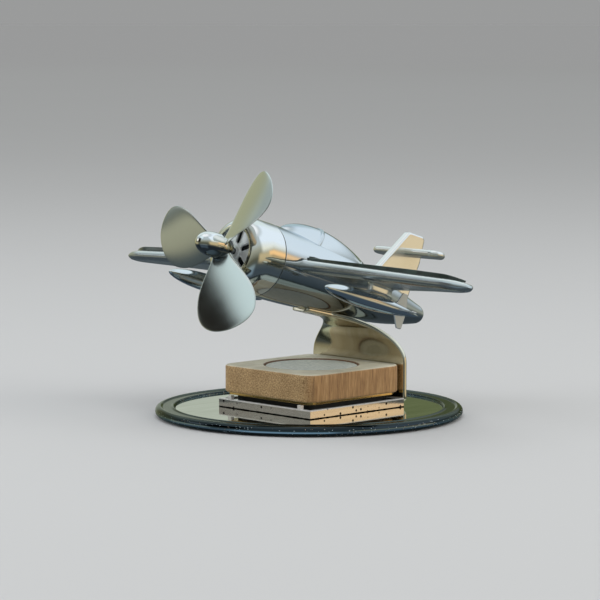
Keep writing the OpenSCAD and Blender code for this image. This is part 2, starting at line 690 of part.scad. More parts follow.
neck_r = 2.6;         // radius of the hub's neck behind the blades
neck_len = 0.9;
module propeller_hub() color(chrome) aeroplane() along_body(spinner_len) difference() {
    union() {
        cylinder(h = hub_back - spinner_len, r = hub_d / 2);
        cylinder(h = hub_back - spinner_len + neck_len, r = neck_r);
    }
    translate([0, 0, -cut]) cylinder(h = hub_back, r = shaft_d / 2);
}
// Spinner: a blunt rounded nose, then straight sides back to a small rounded edge
module spinner() color(chrome) aeroplane() along_body(0) difference() {
    rotate_extrude() polygon([
        [0, spinner_len],
        [0, 0],
        for (i = [1:14]) [spinner_d / 2 * pow(round_in(i / 14), 0.85), spinner_round * i / 14],
        [spinner_d / 2, spinner_len - 0.4],
        [spinner_d / 2 - 0.3, spinner_len]]);
    translate([0, 0, shaft_front]) cylinder(h = spinner_len, r = shaft_d / 2);
}

// Blade: thin curved sections across its radius, widest at the share wide_at of its length,
// round at the tip. The camber is the height of the curve over the widest section's ends.
wide_at = 0.68;
blade_camber = 1;
function blade_swell(u) = pow(sin(90 * clamp(u / wide_at, 0, 1)), 1.3);
function blade_tip(u) = sqrt(max(0.01, 1 - pow(clamp((u - wide_at) / (1 - wide_at), 0, 1), 2.4)));
function blade_width(u) = mix(blade_root_w, blade_w, blade_swell(u)) * blade_tip(u);
function blade_ring(u, n) =
    let (
        r = mix(neck_r, prop_d / 2, u),
        w = blade_width(u) / 2,
        t = blade_t / 2 * mix(1, 0.7, u),
        b = mix(root_angle, tip_angle, u)
    )
    [for (i = [0:n - 1]) let (
        a = 360 * i / n,
        p = w * cos(a),
        q = t * sin(a) + blade_camber * u * (1 - pow(2 * p / blade_w, 2))
    )
    [p * cos(b) + q * sin(b), prop_y + p * sin(b) - q * cos(b), -r]];
module blade(k) color(chrome) aeroplane() rotate([0, -90 - blade_angles[k], 0]) difference() {
    skin([for (i = [18:-1:0]) blade_ring(1 - pow(1 - i / 18, 1.6), 20)]);
    along_body(0) cylinder(h = 2 * prop_y, r = hub_d / 2);
}
module blade_1() blade(0);
module blade_2() blade(1);
module blade_3() blade(2);

// Wing: flat top, rounded front edge, thin rear edge; x runs out from the fuselage's axis
root_bury = 6;        // how far the wing's root reaches in past the fuselage's side
wing_root_x = cowl_r - root_bury;
function wing_u(x) = clamp((x - cowl_r) / (half_span - cowl_r), 0, 1);
function tip_u(x) = clamp((x - half_span + tip_round) / tip_round, 0, 1);
function wing_mid(x) = mix(root_mid, tip_mid, wing_u(x));
function wing_chord(x) =
    mix(root_chord, tip_chord, wing_u(x)) * sqrt(max(0.02, 1 - pow(tip_u(x), 2)));
function wing_full(x) = mix(wing_t, wing_tip_t, wing_u(x));
function wing_thick(x) = wing_full(x) * sqrt(max(0.1, 1 - pow(tip_u(x), 4)));
// Places along the chord where a section has its points, as shares of the chord
wing_shares = [0, 0.02, 0.07, 0.15, 0.27, 0.42, 0.6, 0.78, 0.9, 1];
// Share of the half thickness at distance d behind the front edge, and how the underside
// thins towards the rear edge at the share s of the chord
function wing_swell(d) = round_in(d / nose_len);
function wing_drop(s) = mix(1, 0.25, pow(clamp((s - 0.5) / 0.5, 0, 1), 1.5));
function wing_ring(x) =
    let (
        c = wing_chord(x),
        y = wing_mid(x) - c / 2,
        t = wing_thick(x),
        middle = -wing_full(x) / 2
    )
    [
        for (s = wing_shares) [x, y + c * s, middle + t / 2 * wing_swell(c * s)],
        for (i = [len(wing_shares) - 1:-1:1]) let (s = wing_shares[i])
            [x, y + c * s, middle - t / 2 * wing_swell(c * s) * wing_drop(s)]];
// Frame of a wing: z = 0 is its flat top, which drops a little towards the tip
wing_tilt = asin(wing_sag / half_span);
module wing_frame() translate([0, 0, wing_top]) rotate([0, wing_tilt, 0]) children();
module wing_solid() wing_frame() skin([
    for (k = [0:3]) wing_ring(mix(wing_root_x, half_span - tip_round, k / 4)),
    for (i = [0:10]) wing_ring(half_span - tip_round * (1 - sin(9 * i)))]);
module wing(side) color(chrome) aeroplane() mirrored(side) difference() {
    wing_solid();
    fuselage_solid();
    across(root_mid, spar_z, spar_d / 2 + fit_gap, spar_reach + slide_gap);
}
module wing_left() wing(1);
module wing_right() wing(-1);
module wing_spar() color("#a9adb0") aeroplane() across(root_mid, spar_z, spar_d / 2, spar_reach);

// Panel: follows the wing's outline, drawn in by its margins, with an elliptical tip
panel_end = half_span - panel_tip;
panel_round = tip_round - 1;
function panel_tip_u(x) = clamp((x - panel_end + panel_round) / panel_round, 0, 1);
function panel_y(x, k) = wing_mid(x) + k * wing_chord(x) / 2 + (k < 0 ? panel_front : -panel_rear);
panel_mid = (panel_y(panel_end - panel_round, -1) + panel_y(panel_end - panel_round, 1)) / 2;
function panel_edge(x, k) = mix(panel_mid, panel_y(x, k), sqrt(1 - pow(panel_tip_u(x), 2)));
panel_xs = [
    for (k = [0:3]) mix(panel_root, panel_end - panel_round, k / 4),
    for (i = [0:8]) panel_end - panel_round * (1 - sin(11.25 * i))];
module solar_panel(side) color("#20261f") aeroplane() mirrored(side) wing_frame()
    linear_extrude(panel_t) polygon([
        for (x = panel_xs) [x, panel_edge(x, -1)],
        for (i = [len(panel_xs) - 1:-1:0]) [panel_xs[i], panel_edge(panel_xs[i], 1)]]);
module solar_panel_left() solar_panel(1);
module solar_panel_right() solar_panel(-1);

lead_bend_x = 6.8;    // where the wires turn towards the motor, inside the fuselage
// Two wires from a panel's inner end through the fuselage's side to the motor's terminals
module panel_leads(side) color("#7c2a22") aeroplane() mirrored(side) for (i = [0, 1]) {
    inner = [lead_bend_x, lead_y[i], lead_z];
    terminal = [terminal_x, motor_back + 1 + lead_d / 2, (0.5 - i) * terminal_w];
    bar([panel_root, lead_y[i], lead_z], inner, lead_d / 2);
    translate(inner) sphere(lead_d / 2, $fn = 24);
    bar(inner, terminal, lead_d / 2);
}
module panel_leads_left() panel_leads(1);
module panel_leads_right() panel_leads(-1);

// Pod: a spindle whose radius follows a skewed sine, thickest two fifths back
function pod_radius(u) = pod_d / 2 * pow(max(0, sin(180 * pow(u, 0.76))), 0.72);
module pod_solid() translate([pod_x, pod_front, -pod_drop]) rotate([-90, 0, 0])
    rotate_extrude($fn = 48) polygon([
        [0, 0],
        for (i = [1:23]) [pod_radius(i / 24), pod_len * i / 24],
        [0, pod_len]]);
// Two crossed plates let into the pod's rear end
pod_fin_y = pod_front + pod_len * 0.72;
pod_fin_len = 6.4;    // length of a pod's fin at its foot
module pod_cross(t) for (a = [0, 90]) translate([pod_x, pod_fin_y, -pod_drop])
    rotate([0, a, 0]) translate([-t / 2, 0, 0]) rotate([90, 0, 90]) linear_extrude(t) polygon([
        [0, 0],
        [pod_fin_len * 0.5, pod_fin_w / 2],
        [pod_fin_len * 0.85, pod_fin_w / 2],
        [pod_fin_len, 0],
        [pod_fin_len * 0.85, -pod_fin_w / 2],
        [pod_fin_len * 0.5, -pod_fin_w / 2]]);
module pod(side) color(dark_chrome) aeroplane() mirrored(side) difference() {
    pod_solid();
    pod_cross(pod_fin_t);
}
module pod_left() pod(1);
module pod_right() pod(-1);
module pod_fins(side) color(chrome) aeroplane() mirrored(side) pod_cross(pod_fin_t);
module pod_fins_left() pod_fins(1);
module pod_fins_right() pod_fins(-1);

module pylon(side) color(chrome) aeroplane() mirrored(side) difference() {
    translate([pod_x, pylon_front, -pod_drop + pod_d / 4]) linear_extrude(pod_drop - pod_d / 4)
        polygon([
            for (a = [180:15:360]) pylon_t / 2 * [cos(a), 1 + sin(a)],
            [pylon_t / 2, pylon_len * 0.7],
            [0, pylon_len],
            [-pylon_t / 2, pylon_len * 0.7]]);
    pod_solid();
    wing_solid();
}
module pylon_left() pylon(1);
module pylon_right() pylon(-1);

fin_fillet = 1.6;     // size of the fin's rounded top corners
fin_foot = 2.6;       // how far the fin's rear edge runs forward down to the fuselage
module fin_outline() polygon([
    [fin_front, 0],
    [fin_front, body_at(fin_front, 1)],
    [fin_corner - fin_fillet / 2, fin_top - fin_fillet],
    [fin_corner + fin_fillet / 3, fin_top - fin_fillet / 4],
    [fin_corner + fin_fillet, fin_top],
    [fin_rear - fin_fillet, fin_top],
    [fin_rear - fin_fillet / 4, fin_top - fin_fillet / 4],
    [fin_rear, fin_top - fin_fillet],
    [fin_rear, stab_z - stab_t],
    [fin_rear - fin_foot, body_at(fin_rear - fin_foot, 1)],
    [fin_rear - fin_foot, 0]]);
module fin() color(brass) aeroplane() difference() {
    translate([-fin_t / 2, 0, 0]) rotate([90, 0, 90]) linear_extrude(fin_t) fin_outline();
    fuselage_solid();
    stabiliser_solid(fit_gap);
}
module stabiliser_solid(grow) translate([0, stab_y, stab_z]) rotate([90, 0, 90])
    translate([0, 0, -stab_span / 2]) linear_extrude(stab_span)
        for (k = [-1, 1]) {
            translate([k * (stab_chord - stab_t) / 2, 0]) circle(stab_t / 2 + grow, $fn = 32);
            square([stab_chord - stab_t, stab_t + 2 * grow], center = true);
        }
module stabiliser() color(chrome) aeroplane() intersection() {
    stabiliser_solid(0);
    translate([0, stab_y, stab_z - stab_t]) linear_extrude(2 * stab_t) {
        square([stab_span - stab_chord, stab_chord + 1], center = true);
        for (k = [-1, 1]) translate([k * (stab_span - stab_chord) / 2, 0]) circle(stab_chord / 2);
    }
}

base_dish();
foot_pad();
mirror_disc();
mounting_tape();
tray();
tray_screws();
pedestal();
carrier_plate();
carrier_screws();
scent_block();
scent_pad();
stand();
belly_screws();
fuselage();
canopy();
cowl();
engine_face();
motor_mount();
motor_can();
motor_magnet();
motor_end_cap();
motor_bearing();
motor_rotor();
motor_shaft();
propeller_hub();
blade_1();
blade_2();
blade_3();
spinner();
wing_left();
wing_right();
wing_spar();
solar_panel_left();
solar_panel_right();
panel_leads_left();
panel_leads_right();
pylon_left();
pylon_right();
pod_left();
pod_right();
pod_fins_left();
pod_fins_right();
fin();
stabiliser();
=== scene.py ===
import json
import math
from functools import partial
import bmesh
import bpy
import numpy as np
from mathutils import Matrix


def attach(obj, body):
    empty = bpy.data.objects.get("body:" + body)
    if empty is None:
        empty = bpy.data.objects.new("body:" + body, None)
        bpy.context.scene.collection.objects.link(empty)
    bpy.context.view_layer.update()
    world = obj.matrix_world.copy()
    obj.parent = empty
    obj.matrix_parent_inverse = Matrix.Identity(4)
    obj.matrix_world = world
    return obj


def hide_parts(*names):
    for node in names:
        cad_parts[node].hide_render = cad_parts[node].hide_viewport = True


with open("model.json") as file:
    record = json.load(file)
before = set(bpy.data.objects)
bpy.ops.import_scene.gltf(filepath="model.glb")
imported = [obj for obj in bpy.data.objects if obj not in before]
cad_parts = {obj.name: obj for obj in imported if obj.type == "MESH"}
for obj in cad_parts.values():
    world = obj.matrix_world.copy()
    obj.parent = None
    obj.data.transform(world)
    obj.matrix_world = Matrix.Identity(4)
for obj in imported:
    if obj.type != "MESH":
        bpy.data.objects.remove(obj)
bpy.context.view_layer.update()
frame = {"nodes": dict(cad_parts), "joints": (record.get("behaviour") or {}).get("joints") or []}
scene = bpy.context.scene
print("frame loaded:", len(frame["nodes"]), "nodes")


def setAt(thing, right, back, place):
    # links an object whose +X looks to the right and whose +Z looks back, at a place in metres
    up = np.cross(back, right)
    thing.matrix_world = Matrix([[right[i], up[i], back[i], place[i]] for i in range(3)] + [[0, 0, 0, 1]])
    scene.collection.objects.link(thing)


# The camera looks down by under six degrees, through a long lens. Turn goes round +Z from -Y and rise is
# above the horizon, both in degrees; lengths are in metres.
view = {"turn": 45.93, "rise": 5.85, "distance": 0.9, "focalPixels": 2777.18, "imageWidth": 600, "sensor": 36,
    "sideShift": -0.00291, "aimHeight": 0.03754}
turn, rise = math.radians(view["turn"]), math.radians(view["rise"])
right = np.array([math.cos(turn), math.sin(turn), 0])
back = np.array([math.sin(turn) * math.cos(rise), -math.cos(turn) * math.cos(rise), math.sin(rise)])
lens = bpy.data.cameras.new("camera")
lens.sensor_width = view["sensor"]
lens.lens = view["focalPixels"] / view["imageWidth"] * view["sensor"]
lens.clip_start, lens.clip_end = 0.05, 100
camera = bpy.data.objects.new("camera", lens)
setAt(camera, right, back, right * view["sideShift"] + back * view["distance"] + [0, 0, view["aimHeight"]])
scene.camera = camera
scene.view_settings.view_transform = "Standard"
print("camera placed")

# The aeroplane's own frame: spinner's tip at the origin, +Y back along the body, +Z up from it.
# The propeller's joint gives its pitch, and its place lies propY behind the tip.
plane = {"propY": 10.2, "seamY": 27.5, "bodyLen": 106, "cowlR": 12, "wingTop": 3}
spin = next(j for j in frame["joints"] if j["name"] == "propeller_spin")
pitch = math.atan2(spin["axis"][2], -spin["axis"][1])
noseY = spin["pos_m"][1] * 1000 - plane["propY"] * math.cos(pitch)
noseZ = spin["pos_m"][2] * 1000 + plane["propY"] * math.sin(pitch)


def stack(*columns):
    # columns of numbers side by side on a last axis, after each is spread to the shape they share
    return np.stack(np.broadcast_arrays(*columns), -1).astype(float)


def swung(angle, a, b):
    # two coordinates turned by an angle, the first towards the second
    return a * np.cos(angle) - b * np.sin(angle), a * np.sin(angle) + b * np.cos(angle)


def inPlane(points):
    # points in the aeroplane's frame, in millimetres, to the base's frame
    y, z = swung(-pitch, points[..., 1], points[..., 2])
    return stack(points[..., 0], noseY + y, noseZ + z)


def mix(a, b, t):
    # the straight way from a, at t = 0, to b, at t = 1
    return a + (b - a) * t


def partWay(v, start, end):
    # how far v has come from start to end, held within 0 and 1
    return np.clip((v - start) / (end - start), 0, 1)


def fade(v, start, end, power=2):
    # 1 up to start, then down to 0 at end as a quarter ellipse, fuller with a higher power
    return np.sqrt(np.maximum(0, 1 - partWay(v, start, end) ** power))


def roundIn(u):
    # rises from 0 at u = 0 to 1 at u = 1 as a quarter circle does
    return fade(1 - u, 0, 1)


def bearings(count):
    # a full turn in equal steps, as a row
    return np.linspace(0, 2 * np.pi, count, endpoint=False)[None, :]


def rework(mesh, reach, flats):
    # merges points within reach, in metres; then clears the lines across flats, or faces all outwards
    work = bmesh.new()
    work.from_mesh(mesh)
    bmesh.ops.remove_doubles(work, verts=work.verts, dist=reach)
    if flats:
        bmesh.ops.dissolve_limit(work, angle_limit=math.radians(1), verts=work.verts, edges=work.edges)
    else:
        bmesh.ops.recalc_face_normals(work, faces=work.faces)
    work.to_mesh(mesh)
    work.free()


def settle(name, mesh, node, finish, body, sharp):
    # an object for the mesh, with its finish and, unless it is staged, its body and node
    mesh.shade_smooth()
    mesh.set_sharp_from_angle(angle=math.radians(sharp))
    mesh.materials.clear()
    mesh.materials.append(finishes[finish])
    piece = bpy.data.objects.new(name, mesh)
    scene.collection.objects.link(piece)
    if body:
        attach(piece, body)
        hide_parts(node)
    return piece


def makePiece(name, node, finish, sheets, body="frame", sharp=60, ends=True, loop=False):
    # each sheet is a grid of points in millimetres whose columns close round; its rows close too in a loop,
    # else its first and last rows get flat ends. Doubled points are merged, so a row at a point is a pole.
    points, faces, count = [], [], 0
    for grid in sheets:
        rows, cols = grid.shape[:2]
        r, c = np.arange(rows if loop else rows - 1)[:, None], np.arange(cols)[None, :]
        r2, c2 = (r + 1) % rows, (c + 1) % cols
        corners = [r * cols + c, r * cols + c2, r2 * cols + c2, r2 * cols + c]
        faces += (count + np.stack(corners, -1).reshape(-1, 4)).tolist()
        if ends and not loop:
            faces.append(list(range(count + cols - 1, count - 1, -1)))
            faces.append(list(range(count + (rows - 1) * cols, count + rows * cols)))
        points.append(grid.reshape(-1, 3) / 1000)
        count += rows * cols
    mesh = bpy.data.meshes.new(name)
    mesh.from_pydata(np.concatenate(points).tolist(), [], faces)
    rework(mesh, 2e-7, False)
    return settle(name, mesh, node, finish, body, sharp)


def softened(name, node, finish, width, angle=30):
    # a node whose form is right: its mesh copied and merged, its flats cleared, and its edges eased
    mesh = frame["nodes"][node].data.copy()
    rework(mesh, 2e-6, True)
    bevel = settle(name, mesh, node, finish, "frame", angle).modifiers.new("eased edges", "BEVEL")
    bevel.width, bevel.segments = width / 1000, 3
    bevel.limit_method, bevel.angle_limit = "ANGLE", math.radians(angle)
    bevel.harden_normals = True


def roundCorners(corners, radii, steps, hold=0.12):
    # an outline whose corners are arcs of the given radii; one more point lies hold beyond each end
    # of an arc, so that the straight sides between them stay flat to the eye
    corners = np.array(corners, float)
    radii = np.broadcast_to(np.array(radii, float), len(corners))
    a, b = np.roll(corners, 1, 0) - corners, np.roll(corners, -1, 0) - corners
    a, b = (v / np.linalg.norm(v, axis=1)[:, None] for v in (a, b))
    half = np.arccos(np.clip((a * b).sum(1), -1, 1)) / 2
    cut = (radii / np.tan(half))[:, None]
    middle = corners + (a + b) / np.linalg.norm(a + b, axis=1)[:, None] * (radii / np.sin(half))[:, None]
    start, end = corners + a * cut - middle, corners + b * cut - middle
    sweep = (np.pi - 2 * half)[:, None]
    u = np.linspace(0, 1, steps)[None, :]
    arcs = (start[:, None] * (np.sin((1 - u) * sweep) / np.sin(sweep))[..., None]
        + end[:, None] * (np.sin(u * sweep) / np.sin(sweep))[..., None]) + middle[:, None]
    before, after = arcs[:, :1] + (a * hold)[:, None], arcs[:, -1:] + (b * hold)[:, None]
    return np.concatenate([before, arcs, after], 1).reshape(-1, 2)


def drawnIn(outline, insets, heights):
    # one ring for each height: the outline, which runs anticlockwise, moved in by its inset, corners mitred
    edge = np.roll(outline, -1, 0) - outline
    edge = edge / np.maximum(np.linalg.norm(edge, axis=1), 1e-9)[:, None]
    left = stack(-edge[:, 1], edge[:, 0])
    other = np.roll(left, 1, 0)
    mitre = (left + other) / np.maximum(1 + (left * other).sum(1), 0.35)[:, None]
    return np.stack([stack(*(outline + mitre * inset).T, height) for inset, height in zip(insets, heights)])


def slab(outline, low, high, edge, steps, hold=0.1):
    # outline carried from low to high, its edges quarter circles of radius edge; a ring lies hold
    # beyond each end of a quarter circle, so that the flats stay flat to the eye
    a = np.linspace(0, np.pi / 2, steps)
    gap = min(hold, (high - low) / 2 - edge) if (high - low) / 2 > edge + 1e-6 else 0
    inset = np.concatenate([[edge + hold], edge * (1 - np.sin(a)), [0] * (gap > 0)])
    rise = np.concatenate([[0], edge * (1 - np.cos(a)), [edge + gap] * (gap > 0)])
    return drawnIn(outline, [*inset, *inset[::-1]], [*(low + rise), *(high - rise[::-1])])


def turned(profile, steps):
    # profile of [radius, height] turned about +Z
    a, (r, h) = bearings(steps), np.array(profile, float).T[..., None]
    return stack(r * np.cos(a), r * np.sin(a), h)


def alongBody(points):
    # a shape turned about +Z laid along the aeroplane's axis, and set in place
    return inPlane(points[..., [0, 2, 1]])


def arc(centre, radius, start, end, steps):
    # points on a circle from one bearing to another, in degrees
    a = np.radians(np.linspace(start, end, steps))
    return stack(centre[0] + radius * np.cos(a), centre[1] + radius * np.sin(a))


def linear(code):
    # hex sRGB colour to linear light
    values = [int(code[i:i + 2], 16) / 255 for i in (1, 3, 5)]
    return [v / 12.92 if v <= 0.04045 else ((v + 0.055) / 1.055) ** 2.4 for v in values] + [1]


def wire(node, inputs):
    # sockets, by name, place or order, get a value, a hex colour, a socket, or a node's first live output
    for key, value in inputs.items() if isinstance(inputs, dict) else enumerate(inputs):
        if isinstance(value, bpy.types.Node):
            value = next(socket for socket in value.outputs if socket.enabled)
        if isinstance(value, bpy.types.NodeSocket):
            node.id_data.links.new(value, node.inputs[key])
        else:
            node.inputs[key].default_value = linear(value) if isinstance(value, str) else value


def addNode(tree, kind, inputs=(), stops=(), **settings):
    # a shader node with its own settings and what its sockets get; stops are a ramp's colours
    node = tree.nodes.new("ShaderNode" + kind)
    for key, value in settings.items():
        setattr(node, key, value)
    wire(node, inputs)
    for i, (place, colour) in enumerate(stops):
        elements = node.color_ramp.elements
        element = elements[i] if i < len(elements) else elements.new(1)
        element.position, element.color = place, linear(colour)
    return node


finishes = {}


def newFinish(name, values=()):
    # a material whose constant values stand on its shader's own sockets; add puts a node into its net
    finishes[name] = bpy.data.materials.new(name)
    finishes[name].use_nodes = True
    tree = finishes[name].node_tree
    shader, add = tree.nodes["Principled BSDF"], partial(addNode, tree)
    wire(shader, values)
    return shader, add, add("TexCoord").outputs


def blotches(vector, size, detail=3, rough=0.5):
    # what a noise's sockets get so that its blotches are about size millimetres across
    return {"Vector": vector, "Scale": 1000 / size, "Detail": detail, "Roughness": rough}


# Platings: nickel and chrome over polished metal, buffed by hand. They mirror the room softly, with smudges
# and hairlines from wiping, drawn coarse so that they show. The tone follows how far a face looks up as
# painted light, shade and reflection, pale on top and darker below, standing in for what the room gives each
# part. In each row: tones, range of the roughness, width of the smudges, width and depth of the waves (mm),
# and what else differs.
platings = {
    "hullPlating": ([(0, "#87857E"), (0.3, "#838A8C"), (0.44, "#BCBFC0"), (0.55, "#DEDCD6"),
        (0.68, "#E9EDEF"), (0.86, "#E4EAEE"), (0.93, "#BCCAD4"), (1, "#C6D3DB")],
        (0.05, 0.12), 8, 11, 0.02, {"hair": 0.35}),
    "cowlPlating": ([(0, "#B4B6B4"), (0.35, "#A9AEB0"), (0.5, "#E6DEC6"), (0.62, "#FBF0D6"),
        (0.72, "#FBFCFD")], (0.06, 0.13), 6, 6, 0.03, {"hair": 0.35}),
    "nosePlating": ([(0, "#6E7276"), (0.38, "#5E6266"), (0.47, "#E0D4B8"), (0.6, "#FBF4E0"),
        (0.7, "#FDFEFF")], (0.05, 0.11), 6, 6, 0.02, {"hair": 0.35}),
    "wingPlating": ([(0, "#8E9698"), (0.3, "#868C8E"), (0.5, "#A4A8A6"), (0.64, "#C4CACC"), (0.89, "#CCD2D4"),
        (0.95, "#F4F8F8")], (0.14, 0.24), 7, 9, 0.015, {"metal": 0.84, "hair": 0.35}),
    "bladePlating": ([(0, "#8A8478"), (0.4, "#C9C9BE"), (0.55, "#E0E2D8"), (1, "#F0F5F6")],
        (0.14, 0.24), 7, 9, 0.01, {}),
    "podPlating": ([(0, "#8E9CAC"), (0.4, "#A6B2BE"), (0.52, "#D2CFC4"), (0.7, "#E6EAEC"), (1, "#EEF4F6")],
        (0.05, 0.11), 6, 8, 0.012, {}),
    "finPlating": ([(0, "#A9A79C"), (0.4, "#D6D2C2"), (0.5, "#F4EFE0"), (0.7, "#F8F8F4"), (1, "#F8F9FA")],
        (0.12, 0.2), 5, 7, 0.012, {"metal": 0.84}),
    "tailPlating": ([(0, "#9AA4AC"), (0.52, "#AEB6BC"), (0.6, "#E0E4E6"), (1, "#F4F6F7")],
        (0.06, 0.12), 5, 7, 0.012, {"metal": 0.6}),
    "standPlating": ([(0, "#E6DCC4"), (0.2, "#E0D6BE"), (0.28, "#B4A88E"), (0.45, "#B4A88E"),
        (0.53, "#EFE8D4"), (1, "#F9F1DA")], (0.07, 0.14), 9, 10, 0.015, {"hair": 0.4}),
    # engine face: cast alloy under thin lacquer, so only part metal to the eye, with painted shade in its
    # slots
    "castAlloy": ([(0, "#DCE4E6"), (0.5, "#F2F8FA"), (1, "#FAFDFF")], (0.14, 0.24), 2, 3, 0.01,
        {"metal": 0.3, "deepFrom": 16.4}),
    # tray and screws: thin nickel over folded steel, pitted, with painted shadow at its foot and a rim rubbed
    # pale, partly wear and partly a painted highlight
    "traySteel": ([(0, "#C4C2BC"), (0.5, "#ECE9E4"), (0.7, "#F4F4F2"), (1, "#F6F7F7")],
        (0.06, 0.18), 4, 3, 0.04, {"metal": 0.9, "pit": 1.6, "foot": 2.9, "rim": 5.08})}


def platedMetal(name, tones, rough, smudge, wave, waveDepth, extra):
    # tone by how far a face looks up, in steps of a ramp, as painted light and shade; roughness from
    # smudges; relief from hairlines and waves
    metal = extra.get("metal", 1)
    shader, add, place = newFinish(name, {"Metallic": metal})
    spot = place["Object"]
    smudges = add("TexNoise", blotches(spot, smudge, 4, 0.6))
    # painted light and shade: faces that look up get the pale tones, those that look down the dark ones
    up = add("SeparateXYZ", [place["Normal"]]).outputs[2]
    blurred = add("Math", [smudges, 0.12, up], operation="MULTIPLY_ADD")
    tone = add("ValToRGB", [add("MapRange", [blurred, -0.94, 1.06])], tones)
    if "pit" in extra:
        # black pits, drawn coarse, where the plating has let rust through in three cells of ten
        cells = add("TexVoronoi", {"Vector": spot, "Scale": 1000 / extra["pit"]})
        speck = add("ValToRGB", [cells], [(0.22, "#1A1816"), (0.32, "#FFFFFF")])
        some = add("SeparateColor", [cells.outputs["Color"]])
        rare = add("Math", [some, 0.3], operation="LESS_THAN")
        tone = add("Mix", {0: rare, 6: tone, 7: speck}, data_type="RGBA", blend_type="MULTIPLY")
        # painted shadow: a ragged dark line where the tray stands on the mirror
        level = add("SeparateXYZ", [spot]).outputs[2]
        ragged = add("Math", [add("TexNoise", blotches(spot, 1.5)), -0.0003, level], operation="MULTIPLY_ADD")
        contactShadow = add("Math", [ragged, extra["foot"] / 1000 - 0.00015], operation="LESS_THAN")
        tone = add("Mix", {0: contactShadow, 6: tone, 7: "#1C1A17"}, data_type="RGBA")
        # its rim and the tabs above it are rubbed to a pale satin, partly wear and partly a painted highlight
        rubbedHighlight = add("Math", [level, extra["rim"] / 1000], operation="GREATER_THAN")
        wire(shader, {"Metallic": add("MapRange", {0: rubbedHighlight, 3: metal, 4: 0.25})})
    if "deepFrom" in extra:
        # painted shade: what lies deeper than this behind the spinner's tip, as the slots' floors do, is
        # darkened
        depth = add("SeparateXYZ", [add("Mapping", {0: spot, 2: (pitch, 0, 0)})]).outputs[1]
        start = (extra["deepFrom"] + swung(pitch, noseY, noseZ)[0]) / 1000
        slotShade = add("MapRange", [depth, start, start + 0.0004])
        tone = add("Mix", {0: slotShade, 6: tone, 7: "#22282B"}, data_type="RGBA")
    wiped = add("Mapping", {0: spot, 2: (0.4, 0.3, 0.7), 3: (1, 0.06, 1)})
    hairs = add("TexNoise", blotches(wiped, extra.get("hair", 0.3), 2))
    waves = add("TexNoise", blotches(spot, wave, 1, 0.3))
    fine = add("Bump", {"Strength": 0.12, "Distance": 0.00001, "Height": hairs})
    wire(shader, {"Base Color": tone, "Roughness": add("MapRange", {0: smudges, 3: rough[0], 4: rough[1]}),
        "Normal": add("Bump", {"Strength": 0.5, "Distance": waveDepth / 1000, "Height": waves,
            "Normal": fine})})


for name, look in platings.items():
    platedMetal(name, *look)

# Plain stuffs: two close tones, constant values, width and depth of the grain in mm, how the grain is
# stretched along each axis, and the range of the roughness where the grain carries it
plainStuffs = {
    # nitrile rubber foot, moulded: dull, faintly dusty
    "footRubber": ("#0C0C0C", "#171716", {"Roughness": 0.8}, 0.6, 0.03),
    # acrylic foam tape, slit: dull grey-black
    "tapeFoam": ("#151515", "#242423", {"Roughness": 0.9}, 0.3, 0.03),
    # ABS pedestal and motor mount, moulded with a fine spark-eroded grain: black, low sheen
    "blackAbs": ("#0B0B0A", "#14130F", {"Roughness": 0.55}, 0.25, 0.015),
    # screws, steel blackened in salts: dark, with a dry sheen
    "blackenedSteel": ("#26272A", "#3A3B3F", {"Metallic": 1}, 0.2, 0.006, (1, 1, 1), (0.3, 0.45)),
    # carrier and bearing, lacquered brass sheet: warm gold with a soft roll direction
    "giltBrass": ("#C89B55", "#E6C98C", {"Metallic": 1}, 0.5, 0.006, (8, 0.3, 8), (0.06, 0.14)),
    # motor can, spar and shaft, drawn steel: satin grey, drawn along its length
    "drawnSteel": ("#A9ABAD", "#C3C5C7", {"Metallic": 1}, 0.4, 0.005, (6, 0.4, 6), (0.22, 0.36)),
    # ferrite magnet, sintered: dull charcoal
    "ferrite": ("#2B2B2D", "#3B3B3C", {"Roughness": 0.7}, 0.3, 0.02),
    # nylon end cap, moulded: milky white
    "whiteNylon": ("#DDDAD0", "#EAE7DE", {"Roughness": 0.45}, 1.5, 0.01),
    # enamelled copper wire, wound: turns about 0.3 mm wide run round the rotor
    "copperWinding": ("#8A4A24", "#C47E49", {"Metallic": 1}, 0.3, 0.04, (0.4, 3, 0.4), (0.2, 0.4)),
    # PVC insulation, extruded: soft red
    "redPvc": ("#7A1E18", "#8E2A22", {"Roughness": 0.4}, 1, 0.01),
    # scent pad, cast gypsum plaster: pale, faintly green, chalky, its pores drawn coarse so that they show
    "castPlaster": ("#CDD6CE", "#F1F4EA", {"Roughness": 0.85}, 1.1, 0.12)}


def plainFinish(name, dark, pale, values, size, depth, stretch=(1, 1, 1), rough=None):
    # mottled by noise of the grain's size, with its relief
    shader, add, place = newFinish(name, values)
    grain = add("TexNoise", blotches(add("Mapping", {0: place["Object"], 3: stretch}), size, 5, 0.6))
    wire(shader, {"Base Color": add("ValToRGB", [grain], [(0.3, dark), (0.7, pale)]),
        "Normal": add("Bump", {"Strength": 0.6, "Distance": depth / 1000, "Height": grain})})
    if rough:
        wire(shader, {"Roughness": add("MapRange", {0: grain, 3: rough[0], 4: rough[1]})})


for name, look in plainStuffs.items():
    plainFinish(name, *look)

# Base enamel, blue-black lacquer over metal under a thin clear coat: it mirrors like dark water, and its side
# is full of metal flakes and trapped dust, 0.1 to 0.3 mm wide and drawn at the coarse end so that they show
shader, add, place = newFinish("baseEnamel", {"Metallic": 1, "Specular Tint": "#BCC0B2", "Coat Weight": 0.3,
    "Coat Roughness": 0.03, "Coat IOR": 1.5})
up = add("SeparateXYZ", [place["Normal"]]).outputs[2]
share = add("MapRange", [up, -1, 1])
